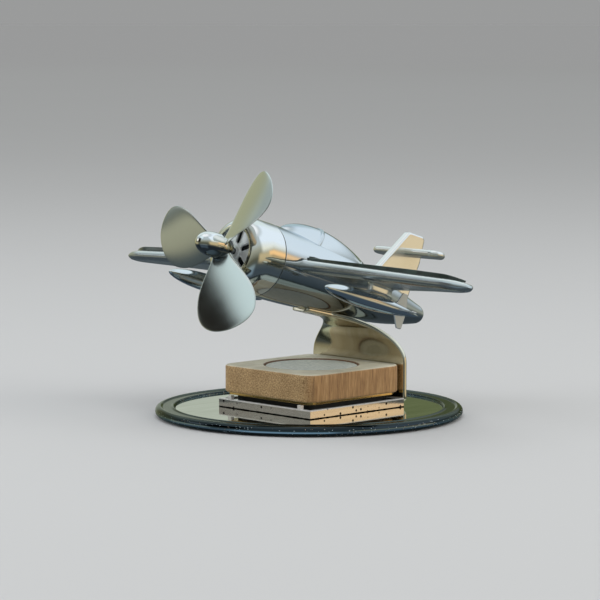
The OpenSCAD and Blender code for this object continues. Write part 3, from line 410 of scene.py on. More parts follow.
# painted light, shade and highlight: tone by how far a face looks up, near black below, a pale blue highlight
# band on faces looking a little down, dark grey-blue above and a little lighter on top
ground = add("ValToRGB", [share], [(0, "#07090B"), (0.24, "#2E3840"), (0.36, "#A6BDCA"), (0.5, "#728793"),
    (0.6, "#333F48"), (0.88, "#2A3234"), (0.97, "#596163")])
cells = add("TexVoronoi", {"Vector": place["Object"], "Scale": 1000 / 0.5})
pick = add("SeparateColor", [cells.outputs["Color"]]).outputs
crowd = add("TexNoise", blotches(place["Object"], 9, 3, 0.6))
limit = add("MapRange", [crowd, 0.35, 0.7, 0.96, 0.48])
speck = add("Math", [cells, 0.3], operation="LESS_THAN")
for test in (add("Math", [pick[0], limit], operation="GREATER_THAN"),
        add("Math", [share, 0.8], operation="LESS_THAN")):
    speck = add("Math", [speck, test], operation="MULTIPLY")
flake = add("ValToRGB", [pick[1]], [(0.6, "#DCE4E8"), (0.95, "#C99A6E")])
smeared = add("MapRange", {0: crowd, 3: 0.06, 4: 0.16})
wire(shader, {"Base Color": add("Mix", {0: speck, 6: ground, 7: flake}, data_type="RGBA"),
    "Roughness": add("Math", [speck, 0.5, smeared], operation="MULTIPLY_ADD"),
    "Normal": add("Bump", {"Strength": 0.5, "Distance": 0.00003, "Height": speck})})

# Mirror plate, silvered float glass with a faint olive cast: sharp, with wiped streaks some 4 mm wide
shader, add, place = newFinish("mirrorGlass", {"Metallic": 1})
wiped = add("Mapping", {0: place["Object"], 2: (0, 0, 0.9), 3: (1, 0.18, 1)})
streak = add("TexNoise", blotches(wiped, 4, 4, 0.6))
wire(shader, {"Base Color": add("ValToRGB", [streak], [(0.3, "#C2C5B4"), (0.7, "#E0E2D4")]),
    "Roughness": add("MapRange", {0: streak, 3: 0.015, 4: 0.07})})

# Scent block, oiled beech sawn across its grain: open pores speckle the end grain (faces that look along Y),
# drawn 0.4 mm wide so that they show; upright streaks mark the sides; the top is paler as painted light, and
# the recess darker as painted shade
shader, add, place = newFinish("oiledBeech", {"Roughness": 0.6, "Sheen Weight": 0.1})
spot = place["Object"]
look = add("SeparateXYZ", [place["Normal"]]).outputs
side = add("MapRange", [add("Math", [look[0]], operation="ABSOLUTE"), 0.3, 0.95])
top = add("MapRange", [look[2], 0.5, 0.85])
pores = add("TexNoise", blotches(spot, 0.4, 2))
streaks = add("TexNoise", blotches(add("Mapping", {0: spot, 3: (1, 1, 0.09)}), 0.8, 5, 0.65))
topStreaks = add("TexNoise", blotches(add("Mapping", {0: spot, 3: (1, 0.08, 1)}), 1, 5, 0.6))
cloud = add("TexNoise", blotches(spot, 7))
speckle, streaked, litTop, shade = (add("ValToRGB", [value], stops) for value, stops in (
    (pores, [(0.3, "#85653F"), (0.48, "#C19C6B"), (0.7, "#E4C595")]),
    (streaks, [(0.28, "#7A5733"), (0.4, "#AC8052"), (0.55, "#C69863"), (0.72, "#DCB17E")]),
    (topStreaks, [(0.25, "#E6DEBC"), (0.5, "#F4EFD6"), (0.75, "#FBF9E8")]),
    (cloud, [(0.25, "#DEDBD4"), (0.75, "#FFFFFF")])))
walls = add("Mix", {0: side, 6: speckle, 7: streaked}, data_type="RGBA")
# painted light: faces that look up take the paler top tones
mixed = add("Mix", {0: top, 6: walls, 7: litTop}, data_type="RGBA")
tone = add("Mix", {0: 1, 6: mixed, 7: shade}, data_type="RGBA", blend_type="MULTIPLY")
# the turned recess is darkened brown as painted shade, above 12 mm and within a ragged 16 mm of its axis,
# which stands at y 1.1
level = add("VectorMath", [spot, (1, 1, 0), (0, -0.0011, 0)], operation="MULTIPLY_ADD")
reach = add("VectorMath", [level], operation="LENGTH")
ragged = add("Math", [pores, 0.0008, reach], operation="MULTIPLY_ADD")
inside = add("MapRange", [ragged, 0.0158, 0.0163, 1, 0])
raised = add("Math", [add("SeparateXYZ", [spot]).outputs[2], 0.012], operation="GREATER_THAN")
recessShade = add("Math", [inside, raised], operation="MULTIPLY")
height = add("Mix", {0: side, 2: pores, 3: streaks})
wire(shader, {"Base Color": add("Mix", {0: recessShade, 6: tone, 7: "#84654A"}, data_type="RGBA"),
    "Normal": add("Bump", {"Strength": 0.8, "Distance": 0.00012, "Height": height})})

# Solar panel, polysilicon under clear epoxy: green-black with cells 9 mm wide, silver fingers 1.5 mm apart,
# drawn wide so that they show, and a glossy skin. The lines are laid out in the aeroplane's frame.
shader, add, place = newFinish("solarCells", {"Coat Weight": 1, "Coat Roughness": 0.06, "Coat IOR": 1.5,
    "Roughness": 0.35})
apart = add("SeparateXYZ", [add("Mapping", {0: place["Object"], 2: (pitch, 0, 0)})])
lines = []
for stepMm, widthMm in ((9, 0.45), (1.5, 0.12)):
    steps = add("Math", [apart, 1000 / stepMm], operation="MULTIPLY")
    wave = add("Math", [steps], operation="FRACT")
    lines.append(add("Math", [wave, widthMm / stepMm], operation="LESS_THAN"))
line = add("Math", lines, operation="MAXIMUM")
flakes = add("TexVoronoi", {"Vector": place["Object"], "Scale": 1000 / 3}).outputs["Color"]
silicon = add("ValToRGB", [add("SeparateColor", [flakes])], [(0, "#1E2620"), (1, "#31413A")])
up = add("SeparateXYZ", [place["Normal"]]).outputs[2]
flat = add("Math", [up, 0.8], operation="GREATER_THAN")
drawn = add("Math", [line, flat], operation="MULTIPLY")
wire(shader, {"Base Color": add("Mix", {0: drawn, 6: silicon, 7: "#5E6B62"}, data_type="RGBA")})
print("finishes made:", len(finishes))

# Base: a lathe-turned dish whose side is a round bead, with a shoulder, a groove and a raised line beside
# the mirror; the mirror plate has eased edges
base = {"radius": 49.99, "bulge": 1.5, "low": 0.3, "top": 3.1, "halfBead": 62}
bead = np.radians(np.linspace(-base["halfBead"], base["halfBead"], 40))
beadLine = stack(base["radius"] - base["bulge"] * (1 - np.cos(bead)), base["top"] / 2 * (1 + np.sin(bead)))
shoulder = [[48.9, 3.045], [48.4, 3.1], [48, 3.08], [47.75, 2.86], [47.5, 2.76], [47.2, 2.75], [45.3, 2.75],
    [44.95, 2.76], [44.7, 2.79], [44.5, 2.9], [44.3, 3], [44.1, 3.03], [43.9, 2.95], [43.75, 2.8],
    [43.66, 2.6], [43.65, 2.5], [43.65, 0.8], [0, 0.8]]
under = [[48.2, 0.02], [47.8, 0], [40.95, 0], [40.7, 0.05], [40.65, 0.4], [0, 0.4]]
dish = turned(np.concatenate([shoulder[::-1], beadLine[::-1], under]), 256) + [0, 0, base["low"]]
makePiece("baseDish", "base_dish", "baseEnamel", [dish], sharp=50)
plate = [[0, 1.1], [43.58, 1.1], [43.6, 1.12], [43.6, 2.35], [43.35, 2.59], [43.3, 2.6], [43.2, 2.6],
    [0, 2.6]]
makePiece("mirrorDisc", "mirror_disc", "mirrorGlass", [turned(plate, 256)], sharp=20)
print("base done")

# Tray and carrier: folded and stamped sheet whose cut edges are eased
softened("trayShell", "tray", "traySteel", 0.38)
softened("carrierPlate", "carrier_plate", "giltBrass", 0.12)

# Scent block: a sawn square with rounded corners, a turned recess whose rim is a little ragged (a sum of
# three sines of the bearing), and a groove underneath for the carrier's rail
block = {"width": 42.3, "corner": 4.8, "low": 7.6, "high": 16.5, "y": 1.1, "edge": 0.75, "recessR": 15.25,
    "recessFloor": 15.2, "rim": 0.35, "ragged": 0.16, "railHalf": 3.3, "grooveTop": 9.1, "grooveStop": 5}
half = block["width"] / 2
square = roundCorners([[-half, -half], [half, -half], [half, half], [-half, half]], block["corner"], 22, 0.4)
# its straight sides get points too, so that the round recess, which shares their bearings, is round
quarters = square.reshape(4, -1, 2)
reach = np.roll(quarters, -1, 0)[:, :1] - quarters[:, -1:]
straight = quarters[:, -1:] + reach * np.linspace(0, 1, 42)[1:-1][None, :, None]
square = np.concatenate([quarters, straight], 1).reshape(-1, 2)
walls = slab(square, block["low"], block["high"], block["edge"], 7, 0.15)
bearing = np.arctan2(square[:, 1], square[:, 0])
wobble = np.sin(17 * bearing + 1) + 0.7 * np.sin(41 * bearing) + 0.5 * np.sin(73 * bearing + 2)
wobble *= block["ragged"] / 2
rim, recessR, floorZ, high = (block[k] for k in ("rim", "recessR", "recessFloor", "high"))
rings = [(recessR + rim + 0.3, high, 0)]
rings += [(r, z, 1) for r, z in arc((recessR + rim, high - rim), rim, 90, 180, 6)]
rings += [(recessR, floorZ + 0.02, 0.4), (recessR - 0.02, floorZ, 0), (0, floorZ, 0)]
r, z, ragged = (np.array(column)[:, None] for column in zip(*rings))
r = r + wobble * ragged
recess = stack(r * np.cos(bearing), r * np.sin(bearing), z)
blockGrid = np.concatenate([walls, recess]) + [0, block["y"], 0]
blockPiece = makePiece("scentBlock", "scent_block", "oiledBeech", [blockGrid], "block", 40)


def cutAway(piece, corners):
    # takes a box, given by its lowest and highest corner in millimetres, out of a piece
    x, y, z = np.array(corners).T / 1000
    mesh = bpy.data.meshes.new("cutter")
    mesh.from_pydata([(i, j, k) for i in x for j in y for k in z], [],
        [(0, 1, 3, 2), (4, 6, 7, 5), (0, 4, 5, 1), (2, 3, 7, 6), (0, 2, 6, 4), (1, 5, 7, 3)])
    cutter = bpy.data.objects.new("cutter", mesh)
    scene.collection.objects.link(cutter)
    tool = piece.modifiers.new("cut", "BOOLEAN")
    tool.object, tool.operation, tool.solver = cutter, "DIFFERENCE", "EXACT"
    shaped = bpy.data.meshes.new_from_object(piece.evaluated_get(bpy.context.evaluated_depsgraph_get()))
    piece.modifiers.clear()
    piece.data = shaped
    bpy.data.objects.remove(cutter)


cutAway(blockPiece, [[-block["railHalf"], block["y"] - half + block["grooveStop"], block["low"] - 1],
    [block["railHalf"], block["y"] + half + 1, block["grooveTop"]]])

# Scent pad: a cast disc, its crown a parabola, with a shallow ring pressed near its edge as a bell curve
pad = {"radius": 14.95, "high": 16.2, "crown": 0.04, "ring": 13.4, "ringDepth": 0.12, "ringWide": 0.22}
r = np.concatenate([np.linspace(0, 12.6, 12), np.linspace(12.9, 13.9, 15), [14.3, 14.6]])
crown = pad["high"] - pad["crown"] * (r / pad["radius"]) ** 2 \
    - pad["ringDepth"] * np.exp(-((r - pad["ring"]) / pad["ringWide"]) ** 2)
rim = [[14.65, 16.15], [14.8, 16.1], [14.9, 16], [14.95, 15.85], [14.95, 15.2], [0, 15.2]]
padGrid = turned(np.concatenate([stack(r, crown), rim]), 160) + [0, block["y"], 0]
makePiece("scentPad", "scent_pad", "castPlaster", [padGrid], "pad", 50)
print("tray, block and pad done")

# Stand: one strip of sheet. Its middle line runs along the foot, turns up behind the tray, bends over the
# knee as a cubic curve between four pulls, and ends flat under the belly; its half width is full up to the
# knee, falls as a cosine above it and draws in round the tip.
stand = {"thick": 1.6, "foot": 19.7, "wall": 21.3, "flange": 3.8, "edge": 0.72, "footFront": -4.6,
    "footZ": 3.6, "wallY": 23.2, "bend": 1.5, "knee": (23.2, 16.7), "kneePull": 10, "flangePull": 11,
    "seat": (1.6, 33.7), "slope": (-0.973351, 0.229322), "flangeRear": 5.2, "flangeFront": 6.2, "tip": 1.3,
    "tipHalf": 2.4, "leastHalf": 0.9, "footRows": 12, "bendRows": 10, "widenRows": 6, "tipRows": 11}
slope, seat, knee = (np.array(stand[k]) for k in ("slope", "seat", "knee"))
bend, wallY, footZ, flat = stand["bend"], stand["wallY"], stand["footZ"], stand["flangeFront"] - stand["tip"]
rear = seat - stand["flangeRear"] * slope
u = np.linspace(0, 1, 70)[:, None]
pulls = [knee, knee + [0, stand["kneePull"]], rear - stand["flangePull"] * slope, rear]
tipArc = np.linspace(0, 1, stand["tipRows"] + 1)[1:, None] ** 0.6 * np.pi / 2
line = np.concatenate([
    np.linspace((stand["footFront"], footZ), (wallY - bend - 0.1, footZ), stand["footRows"]),
    arc((wallY - bend, footZ + bend), bend, -90, 0, stand["bendRows"]),
    np.linspace((wallY, footZ + bend + 0.1), (wallY, knee[1] - 0.1), 10),
    sum(k * p * (1 - u) ** (3 - i) * u ** i for i, (k, p) in enumerate(zip((1, 3, 3, 1), pulls))),
    rear + (stand["flangeRear"] + flat) * np.linspace(0.02, 1, 14)[:, None] * slope,
    seat + (flat + stand["tip"] * np.sin(tipArc)) * slope])
step = np.gradient(line, axis=0)
step /= np.linalg.norm(step, axis=1)[:, None]
halfWidth = mix(stand["flange"], stand["wall"],
    np.cos(np.pi / 2 * partWay(line[:, 1], knee[1], rear[1]) ** 1.1))
bendEnd, tipRows = stand["footRows"] + stand["bendRows"], slice(-stand["tipRows"], None)
halfWidth[:bendEnd] = stand["foot"]
halfWidth[bendEnd - stand["widenRows"]:bendEnd] = np.linspace(stand["foot"], stand["wall"],
    stand["widenRows"])
halfWidth[tipRows] -= (stand["flange"] - stand["tipHalf"]) * (1 - np.cos(tipArc[:, 0]))
halfWidth[tipRows] = np.maximum(halfWidth[tipRows], stand["leastHalf"])
# the section is a flat bar whose corners are quarter circles of nine points each
edge, a = stand["edge"], np.radians(np.concatenate([np.linspace(q, q + 90, 9) for q in (0, 90, 180, 270)]))
signX, signN = (np.repeat(signs, 9) for signs in ((1, -1, -1, 1), (1, 1, -1, -1)))
x = signX * (halfWidth[:, None] - edge) + edge * np.cos(a)
n = signN * (stand["thick"] / 2 - edge) + edge * np.sin(a)
strip = stack(x, line[:, :1] + step[:, 1:] * n, line[:, 1:] - step[:, :1] * n)
makePiece("standStrip", "stand", "standPlating", [strip], sharp=50)

# Belly screws, upside down on the flange: the head is a parabola's cap less a cross, and the shaft a rod
screws = {"headR": 1.7, "rise": 0.35, "cross": 0.4, "crossR": 0.935, "crossDeep": 0.3, "shaftR": 0.9,
    "length": 4, "reach": 2.8, "seatY": 55.3, "seatZ": -10.8828, "slope": math.radians(3.24286), "proud": 0.8}
r, a = np.linspace(0, 1, 26)[:, None], bearings(64)
px, py = screws["headR"] * r * np.cos(a), screws["headR"] * r * np.sin(a)
inCross = (np.minimum(np.abs(px), np.abs(py)) < screws["cross"] / 2) & (np.hypot(px, py) < screws["crossR"])
head = stack(px, py, screws["rise"] * (1 - r ** 2) - screws["crossDeep"] * inCross)
rod = [[screws["headR"], -0.05], [screws["shaftR"], -0.7], [screws["shaftR"], -screws["length"]],
    [0, -screws["length"]]]
grid = np.concatenate([head, turned(rod, 64)]) * [1, 1, -1]
sheets = []
for side in (-1, 1):
    y, z = swung(screws["slope"], side * screws["reach"] + grid[..., 1], grid[..., 2] - screws["proud"])
    sheets.append(inPlane(stack(grid[..., 0], screws["seatY"] + y, screws["seatZ"] + z)))
makePiece("bellyScrews", "belly_screws", "traySteel", sheets, sharp=45)
print("stand done")

# Fuselage: rings whose top, belly and half width follow smooth curves through a table of stations
hull = {"stations": np.array([[0, 12, -12, 12], [12, 11.7, -11.7, 11.9], [24, 11, -11.1, 11.3],
    [36, 9.9, -10.4, 10], [48, 8.2, -9.5, 8.2], [60, 5.6, -8.1, 6.1], [70, 3.1, -6.2, 4.1],
    [76, 1.7, -4.7, 2.9], [79, 1.1, -3.9, 2.4]]), "stretch": 0.993671, "tailRound": 3, "wall": 1.2,
    "solidTail": 12, "lip": 0.1, "innerRows": 30, "outerRows": 130}


def bodyAt(y, k):
    # cubic pieces through column k of the stations, whose slopes are those of the neighbours' chords
    t = hull["stations"]
    v = (np.asarray(y, float) - plane["seamY"]) / hull["stretch"]
    i = np.clip(np.searchsorted(t[:, 0], v, side="right") - 1, 0, len(t) - 2)
    low, high = np.maximum(np.arange(len(t)) - 1, 0), np.minimum(np.arange(len(t)) + 1, len(t) - 1)
    slopes = (t[high, k] - t[low, k]) / (t[high, 0] - t[low, 0])
    h = t[i + 1, 0] - t[i, 0]
    u, p, q, m, n = (v - t[i, 0]) / h, t[i, k], t[i + 1, k], slopes[i] * h, slopes[i + 1] * h
    return p + u * m + u ** 2 * (3 * (q - p) - 2 * m - n) + u ** 3 * (2 * (p - q) + m + n)


# the line goes forwards inside, round the lip and back outside; the tail closes as a quarter ellipse
mouth, lip, closeFrom = plane["seamY"], hull["lip"], plane["bodyLen"] - hull["tailRound"]
a = np.linspace(0, np.pi / 2, 6)
tailY = closeFrom + hull["tailRound"] * np.sin(np.linspace(0, np.pi / 2, 22))
y = np.concatenate([np.linspace(plane["bodyLen"] - hull["solidTail"], mouth + lip + 0.1, hull["innerRows"]),
    mouth + lip * (1 - np.sin(a)), mouth + lip * (1 - np.cos(a)),
    np.linspace(mouth + lip + 0.1, closeFrom - 0.2, hull["outerRows"]), tailY])[:, None]
inset = np.concatenate([np.full(hull["innerRows"], hull["wall"]), hull["wall"] - lip * (1 - np.cos(a)),
    lip * (1 - np.sin(a)), np.zeros(hull["outerRows"] + len(tailY))])[:, None]
a, close = bearings(144), fade(y, closeFrom, plane["bodyLen"])
top, belly, wide = (bodyAt(y, k) for k in (1, 2, 3))
hullGrid = stack((wide * close - inset) * np.cos(a), y,
    (top + belly) / 2 + ((top - belly) / 2 * close - inset) * np.sin(a))
makePiece("fuselageShell", "fuselage", "hullPlating", [inPlane(hullGrid)])

# Canopy: half ellipses whose crown follows a sine over the fuselage's top line, with a double frame line
# that leans forwards towards its foot, two bell curves high; rows stand closer where that line runs
canopy = {"front": 33.5, "length": 42.5, "rise": 4.3, "width": 16.4, "sink": 0.3,
    "fineRows": (0.2, 0.45, 170), "frameY": 50, "frameZ": 15, "lean": 0.85, "frameGap": 0.9,
    "frameWide": 0.24, "frameHigh": 0.3}
u = np.unique(np.concatenate([(1 - np.cos(np.linspace(0, np.pi, 90))) / 2, np.linspace(*canopy["fineRows"])]))
y, a = (canopy["front"] + canopy["length"] * u)[:, None], bearings(128)
swell = np.maximum(0, np.sin(np.pi * u ** 0.75))[:, None] ** 0.8
top = bodyAt(y, 1) + mix(-canopy["sink"], canopy["rise"], swell)
wide = mix(1, canopy["width"] / 2, swell ** 0.6)
foot = (bodyAt(y, 1) + bodyAt(y, 2)) / 2 + 1
z = foot + np.where(np.sin(a) > 0, top - foot, 1) * np.sin(a)
away = y - canopy["frameY"] - canopy["lean"] * (z - canopy["frameZ"])
ridge = sum(np.exp(-((away + k * canopy["frameGap"] / 2) / canopy["frameWide"]) ** 2) for k in (-1, 1))
ridge = canopy["frameHigh"] * ridge * (np.sin(a) > -0.2)
glass = stack((wide + ridge) * np.cos(a), y, z + ridge * np.maximum(0, np.sin(a)))
makePiece("canopyShell", "canopy", "hullPlating", [inPlane(glass)])

# Cowl: turned line, a quarter ellipse out from a rolled lip and straight back to the seam
cowl = {"front": 14.7, "lipR": 8.4, "roll": 1.2, "shoulder": 7, "mouthR": 10.8, "rear": 27.2, "edge": 0.1}
a = np.linspace(0, np.pi / 2, 40)
inner, outer = (stack(mix(cowl["lipR"], reach, np.sin(a)), cowl["front"] + deep * (1 - np.cos(a)))
    for reach, deep in ((cowl["lipR"] - cowl["roll"], cowl["roll"]), (plane["cowlR"], cowl["shoulder"])))
back = arc((plane["cowlR"] - cowl["edge"], cowl["rear"] - cowl["edge"]), cowl["edge"], 0, 90, 6)
inside = [[cowl["mouthR"] + 0.1, cowl["rear"]], [cowl["mouthR"], cowl["rear"] - 0.1], [cowl["mouthR"], 18.7],
    [8.45, 17.1], [8.45, 15.95], [8.4, 15.9], [7.3, 15.9]]
side = [[plane["cowlR"], cowl["rear"] - cowl["edge"] - 0.1]]
profile = np.concatenate([inner[36:0:-4], outer, side, back, inside])
makePiece("cowlShell", "cowl", "cowlPlating", [alongBody(turned(profile, 192))], sharp=40, loop=True)

# Engine face: a cast disc with radial slots, each a step round a line with a bell-shaped lip beside it, a
# raised boss round the shaft and a lowered rim
face = {"front": 16.23, "back": 17.1, "radius": 8.4, "rimFrom": 8.3, "slotIn": 3.6, "slotOut": 6.4,
    "slotWide": 1.6, "slots": 6, "first": -100, "deep": 0.9, "step": 0.14, "lip": 0.16, "lipAt": 0.25,
    "lipWide": 0.16, "boss": 2.3, "bossFoot": 2.6, "bossHigh": 0.45, "dropFrom": 7.2, "dropTo": 7.8,
    "drop": 0.1, "bore": 1.05}
r = np.linspace(face["bore"], face["rimFrom"], 90), np.linspace(face["rimFrom"], face["radius"], 6)
r = np.unique(np.concatenate(r))[:, None]
a, every = bearings(360), 360 / face["slots"]
share = np.radians((np.degrees(a) - face["first"] + every / 2) % every - every / 2)
px, py = r * np.cos(share), r * np.sin(share)
away = np.hypot(px - np.clip(px, face["slotIn"], face["slotOut"]), py) - face["slotWide"] / 2
depth = face["deep"] * (1 - partWay(away, -face["step"] / 2, face["step"] / 2)) \
    - face["lip"] * np.exp(-((away - face["lipAt"]) / face["lipWide"]) ** 2) \
    - face["bossHigh"] * (1 - partWay(r, face["boss"], face["bossFoot"])) \
    + face["drop"] * partWay(r, face["dropFrom"], face["dropTo"])
front = stack(r * np.cos(a), r * np.sin(a), face["front"] + depth)
closing = [[face["radius"], face["back"]], [face["bore"], face["back"]], [face["bore"], 16]]
makePiece("engineFace", "engine_face", "castAlloy",
    [alongBody(np.concatenate([front, turned(closing, 360)]))], sharp=40, loop=True)
print("fuselage, canopy and cowl done")

# Spinner and hub, turned: the spinner's blunt nose, then straight sides to an eased edge
spinner = {"radius": 4, "round": 6.9, "hubR": 2.6}
u = 1 - np.cos(np.linspace(0, np.pi / 2, 60))
nose = stack(spinner["radius"] * roundIn(u) ** 0.85, spinner["round"] * u)
straight = [[4, 7], [4, 7.9], [3.98, 8.05], [3.9, 8.2], [3.75, 8.34], [3.6, 8.4], [3.5, 8.4], [0, 8.4]]
hub = [[0, 8.4], [3.1, 8.4], [3.2, 8.4], [3.36, 8.5], [3.4, 8.65], [3.4, 8.75], [3.4, 12.25], [3.4, 12.35],
    [3.36, 12.5], [3.2, 12.6], [3.1, 12.6], [2.7, 12.6], [2.6, 12.65], [2.6, 13.3], [2.5, 13.45], [2.4, 13.5],
    [0, 13.5]]
for name, node, line, steps in (("spinnerCap", "spinner", np.concatenate([nose, straight]), 128),
        ("propellerHub", "propeller_hub", hub, 96)):
    makePiece(name, node, "nosePlating", [alongBody(turned(line, steps))], "propeller", 40)

# Blade: thin lens sections, cambered, twisted from root to tip, widest at two thirds and round at the tip
blade = {"diameter": 56.97, "first": 66, "rootWide": 6, "wide": 20, "wideAt": 0.68, "thick": 1.1,
    "rootTurn": 30, "tipTurn": 16, "camber": 1, "rows": 90, "around": 64}
u, a = 1 - (1 - np.linspace(0, 1, blade["rows"])[:, None]) ** 1.6, bearings(blade["around"])
out = mix(spinner["hubR"], blade["diameter"] / 2, u)
close = fade(u, blade["wideAt"], 1, 2.4)
chord = mix(blade["rootWide"], blade["wide"],
    np.sin(np.pi / 2 * partWay(u, 0, blade["wideAt"])) ** 1.3) * close
across = chord / 2 * np.cos(a)
lift = blade["thick"] / 2 * mix(1, 0.7, u) * np.sin(a) * np.sqrt(close) \
    + blade["camber"] * u * (1 - (2 * across / blade["wide"]) ** 2)
x, y = swung(np.radians(mix(blade["rootTurn"], blade["tipTurn"], u)), across, -lift)
for k in range(3):
    sideways, down = swung(math.radians(90 + k * 120 - blade["first"]), x, -out)
    makePiece(f"blade_{k + 1}.skin", f"blade_{k + 1}", "bladePlating",
        [inPlane(stack(sideways, plane["propY"] + y, down))], "propeller")
print("propeller done")

# Wing: sections with a flat top, a round front edge and an underside that thins towards the rear
wing = {"root": 6, "halfSpan": 78.7, "rootChord": 34.3, "tipChord": 8.6, "rootMid": 51.2, "tipMid": 41.6,
    "tipRound": 9.5, "thick": 4.2, "tipThick": 3.2, "nose": 2.2, "rearRound": 0.9, "drop": 2}
tipFrom = wing["halfSpan"] - wing["tipRound"]


def wingEdge(x, k):
    # the wing's front edge for k = -1 and its rear edge for k = 1
    out = partWay(x, plane["cowlR"], wing["halfSpan"])
    chord = mix(wing["rootChord"], wing["tipChord"], out) * fade(x, tipFrom, wing["halfSpan"])
    return mix(wing["rootMid"], wing["tipMid"], out) + k * chord / 2


def onWing(points):
    # from the wing's frame, whose z = 0 is the flat top, to the aeroplane's; its tip lies drop lower
    x, z = swung(-math.asin(wing["drop"] / wing["halfSpan"]), points[..., 0], points[..., 2])
    return stack(x, points[..., 1], plane["wingTop"] + z)


def roundEnd(start, end, radius, straightRows, roundRows):
    # places along a span, closer together where its end is round
    arcPlaces = end - radius * (1 - np.sin(np.linspace(0, np.pi / 2, roundRows)))
    return np.concatenate([np.linspace(start, end - radius, straightRows)[:-1], arcPlaces])


x = roundEnd(wing["root"], wing["halfSpan"], wing["tipRound"], 60, 34)[:, None]
s = (1 - np.cos(np.linspace(0, np.pi, 64)))[None, :] / 2
full = mix(wing["thick"], wing["tipThick"], partWay(x, plane["cowlR"], wing["halfSpan"]))
front, chord = wingEdge(x, -1), wingEdge(x, 1) - wingEdge(x, -1)
swell = full * fade(x, tipFrom, wing["halfSpan"], 4) / 2 * roundIn(chord * s / wing["nose"])
upper = -full / 2 + swell
lower = -full / 2 - swell * mix(1, 0.25, partWay(s, 0.5, 1) ** 1.5)
middle, halfThick = (upper + lower) / 2, (upper - lower) / 2 * roundIn(chord * (1 - s) / wing["rearRound"])
topSide, lowSide = (stack(x, front + chord * s, middle + k * halfThick) for k in (1, -1))
wingGrid = onWing(np.concatenate([topSide, lowSide[:, -2:0:-1]], 1))

# Panel: follows the wing's outline inside its margins, rounded at the tip, its top level while the wing
# falls away below it, with a sealed strip over the wires at its root
panel = {"root": 12.6, "end": 75.7, "round": 8.5, "front": 1.7, "rear": 4, "thick": 1.4, "rootThick": 0.75,
    "fullFrom": 55, "taperFrom": 68, "tipShare": 0.4, "edge": 0.2, "stripX": (12.7, 15.2), "stripTop": 1.3}
px = roundEnd(panel["root"], panel["end"], panel["round"], 50, 26)
join = panel["end"] - panel["round"]
centre = (wingEdge(join, -1) + panel["front"] + wingEdge(join, 1) - panel["rear"]) / 2
frontLine, rearLine = (stack(px, mix(centre, line, fade(px, join, panel["end"])))
    for line in (wingEdge(px, -1) + panel["front"], wingEdge(px, 1) - panel["rear"]))
panelGrid = slab(np.concatenate([frontLine, rearLine[::-1][1:]]), 0, panel["thick"], panel["edge"], 5, 0.15)
swell = partWay(panelGrid[..., 0], panel["root"], panel["fullFrom"])
taper = partWay(panelGrid[..., 0], panel["taperFrom"], panel["end"])
panelGrid[..., 2] *= mix(panel["rootThick"] / panel["thick"], 1, swell) \
    * mix(1, panel["tipShare"], taper ** 2)
stripX = panel["stripX"]
stripY = (wingEdge(panel["root"], -1) + panel["front"] + 0.15,
    wingEdge(panel["root"], 1) - panel["rear"] - 0.6)
strip = roundCorners([[stripX[0], stripY[0]], [stripX[1], stripY[0] + 0.4], [stripX[1], stripY[1]],
    [stripX[0], stripY[1]]], 0.6, 6)
panelSheets = [onWing(panelGrid), onWing(slab(strip, 0.2, panel["stripTop"], 0.3, 5))]

# Pod: a spindle, a sine raised to a power; its fins are two thin crossed plates, and a short streamlined
# pylon with fillets at its top and foot carries it
pod = {"x": 36.2, "drop": 7.3, "front": 22.9, "length": 43.4, "diameter": 5.8, "finY": 54.148, "finLen": 6.4,
    "finWide": 11.4, "finThick": 0.5, "pylonFront": 41.8, "pylonLen": 10.5, "pylonThick": 2.2, "fillet": 0.5}
u = (1 - np.cos(np.linspace(0, np.pi, 110))) / 2
podLine = stack(pod["diameter"] / 2 * np.maximum(0, np.sin(np.pi * u ** 0.76)) ** 0.72, pod["length"] * u)
podGrid = turned(podLine, 96)[..., [0, 2, 1]] + [pod["x"], pod["front"], -pod["drop"]]
finHalf = pod["finWide"] / 2
cross = roundCorners([[pod["finLen"] * along, finHalf * k] for along, k in
    ((0, 0), (0.5, -1), (0.85, -1), (1, 0), (0.85, 1), (0.5, 1))], [0.2, 0.5, 0.5, 0.2, 0.5, 0.5], 6, 0.05)
fins = slab(cross, -pod["finThick"] / 2, pod["finThick"] / 2, 0.2, 5, 0.05) + [pod["finY"], 0, 0]
podFins = [stack(pod["x"] + fins[..., i], fins[..., 0], fins[..., j] - pod["drop"])
    for i, j in ((2, 1), (1, 2))]
r, taper = pod["pylonThick"] / 2, [(1, 0.5), (0.92, 0.7), (0.6, 0.86)]
plan = np.concatenate([arc((0, r), r, 180, 360, 24),
    [[r * wide, pod["pylonLen"] * along] for wide, along in taper],
    [[0.12, pod["pylonLen"]], [-0.12, pod["pylonLen"]]],
    [[-r * wide, pod["pylonLen"] * along] for wide, along in taper[::-1]]])
levels = np.linspace(-6.2, -0.2, 40)
flare = pod["fillet"] * sum(np.exp(-np.abs(levels + end) / 0.25) for end in (4.5, 1.75))
pylonGrid = drawnIn(plan, -flare, levels) + [pod["x"], pod["pylonFront"], 0]
for side, k in (("left", 1), ("right", -1)):
    for name, node, finish, sheets, sharp in (("wing", "wing", "wingPlating", [wingGrid], 60),
            ("solarPanel", "solar_panel", "solarCells", panelSheets, 50),
            ("pod", "pod", "podPlating", [podGrid], 60),
            ("podFins", "pod_fins", "tailPlating", podFins, 60),
            ("pylon", "pylon", "finPlating", [pylonGrid], 60)):
        mirrored = [inPlane(grid * [k, 1, 1]) for grid in sheets]
        makePiece(f"{name}.{side}", f"{node}_{side}", finish, mirrored, sharp=sharp)
print("wings, panels and pods done")

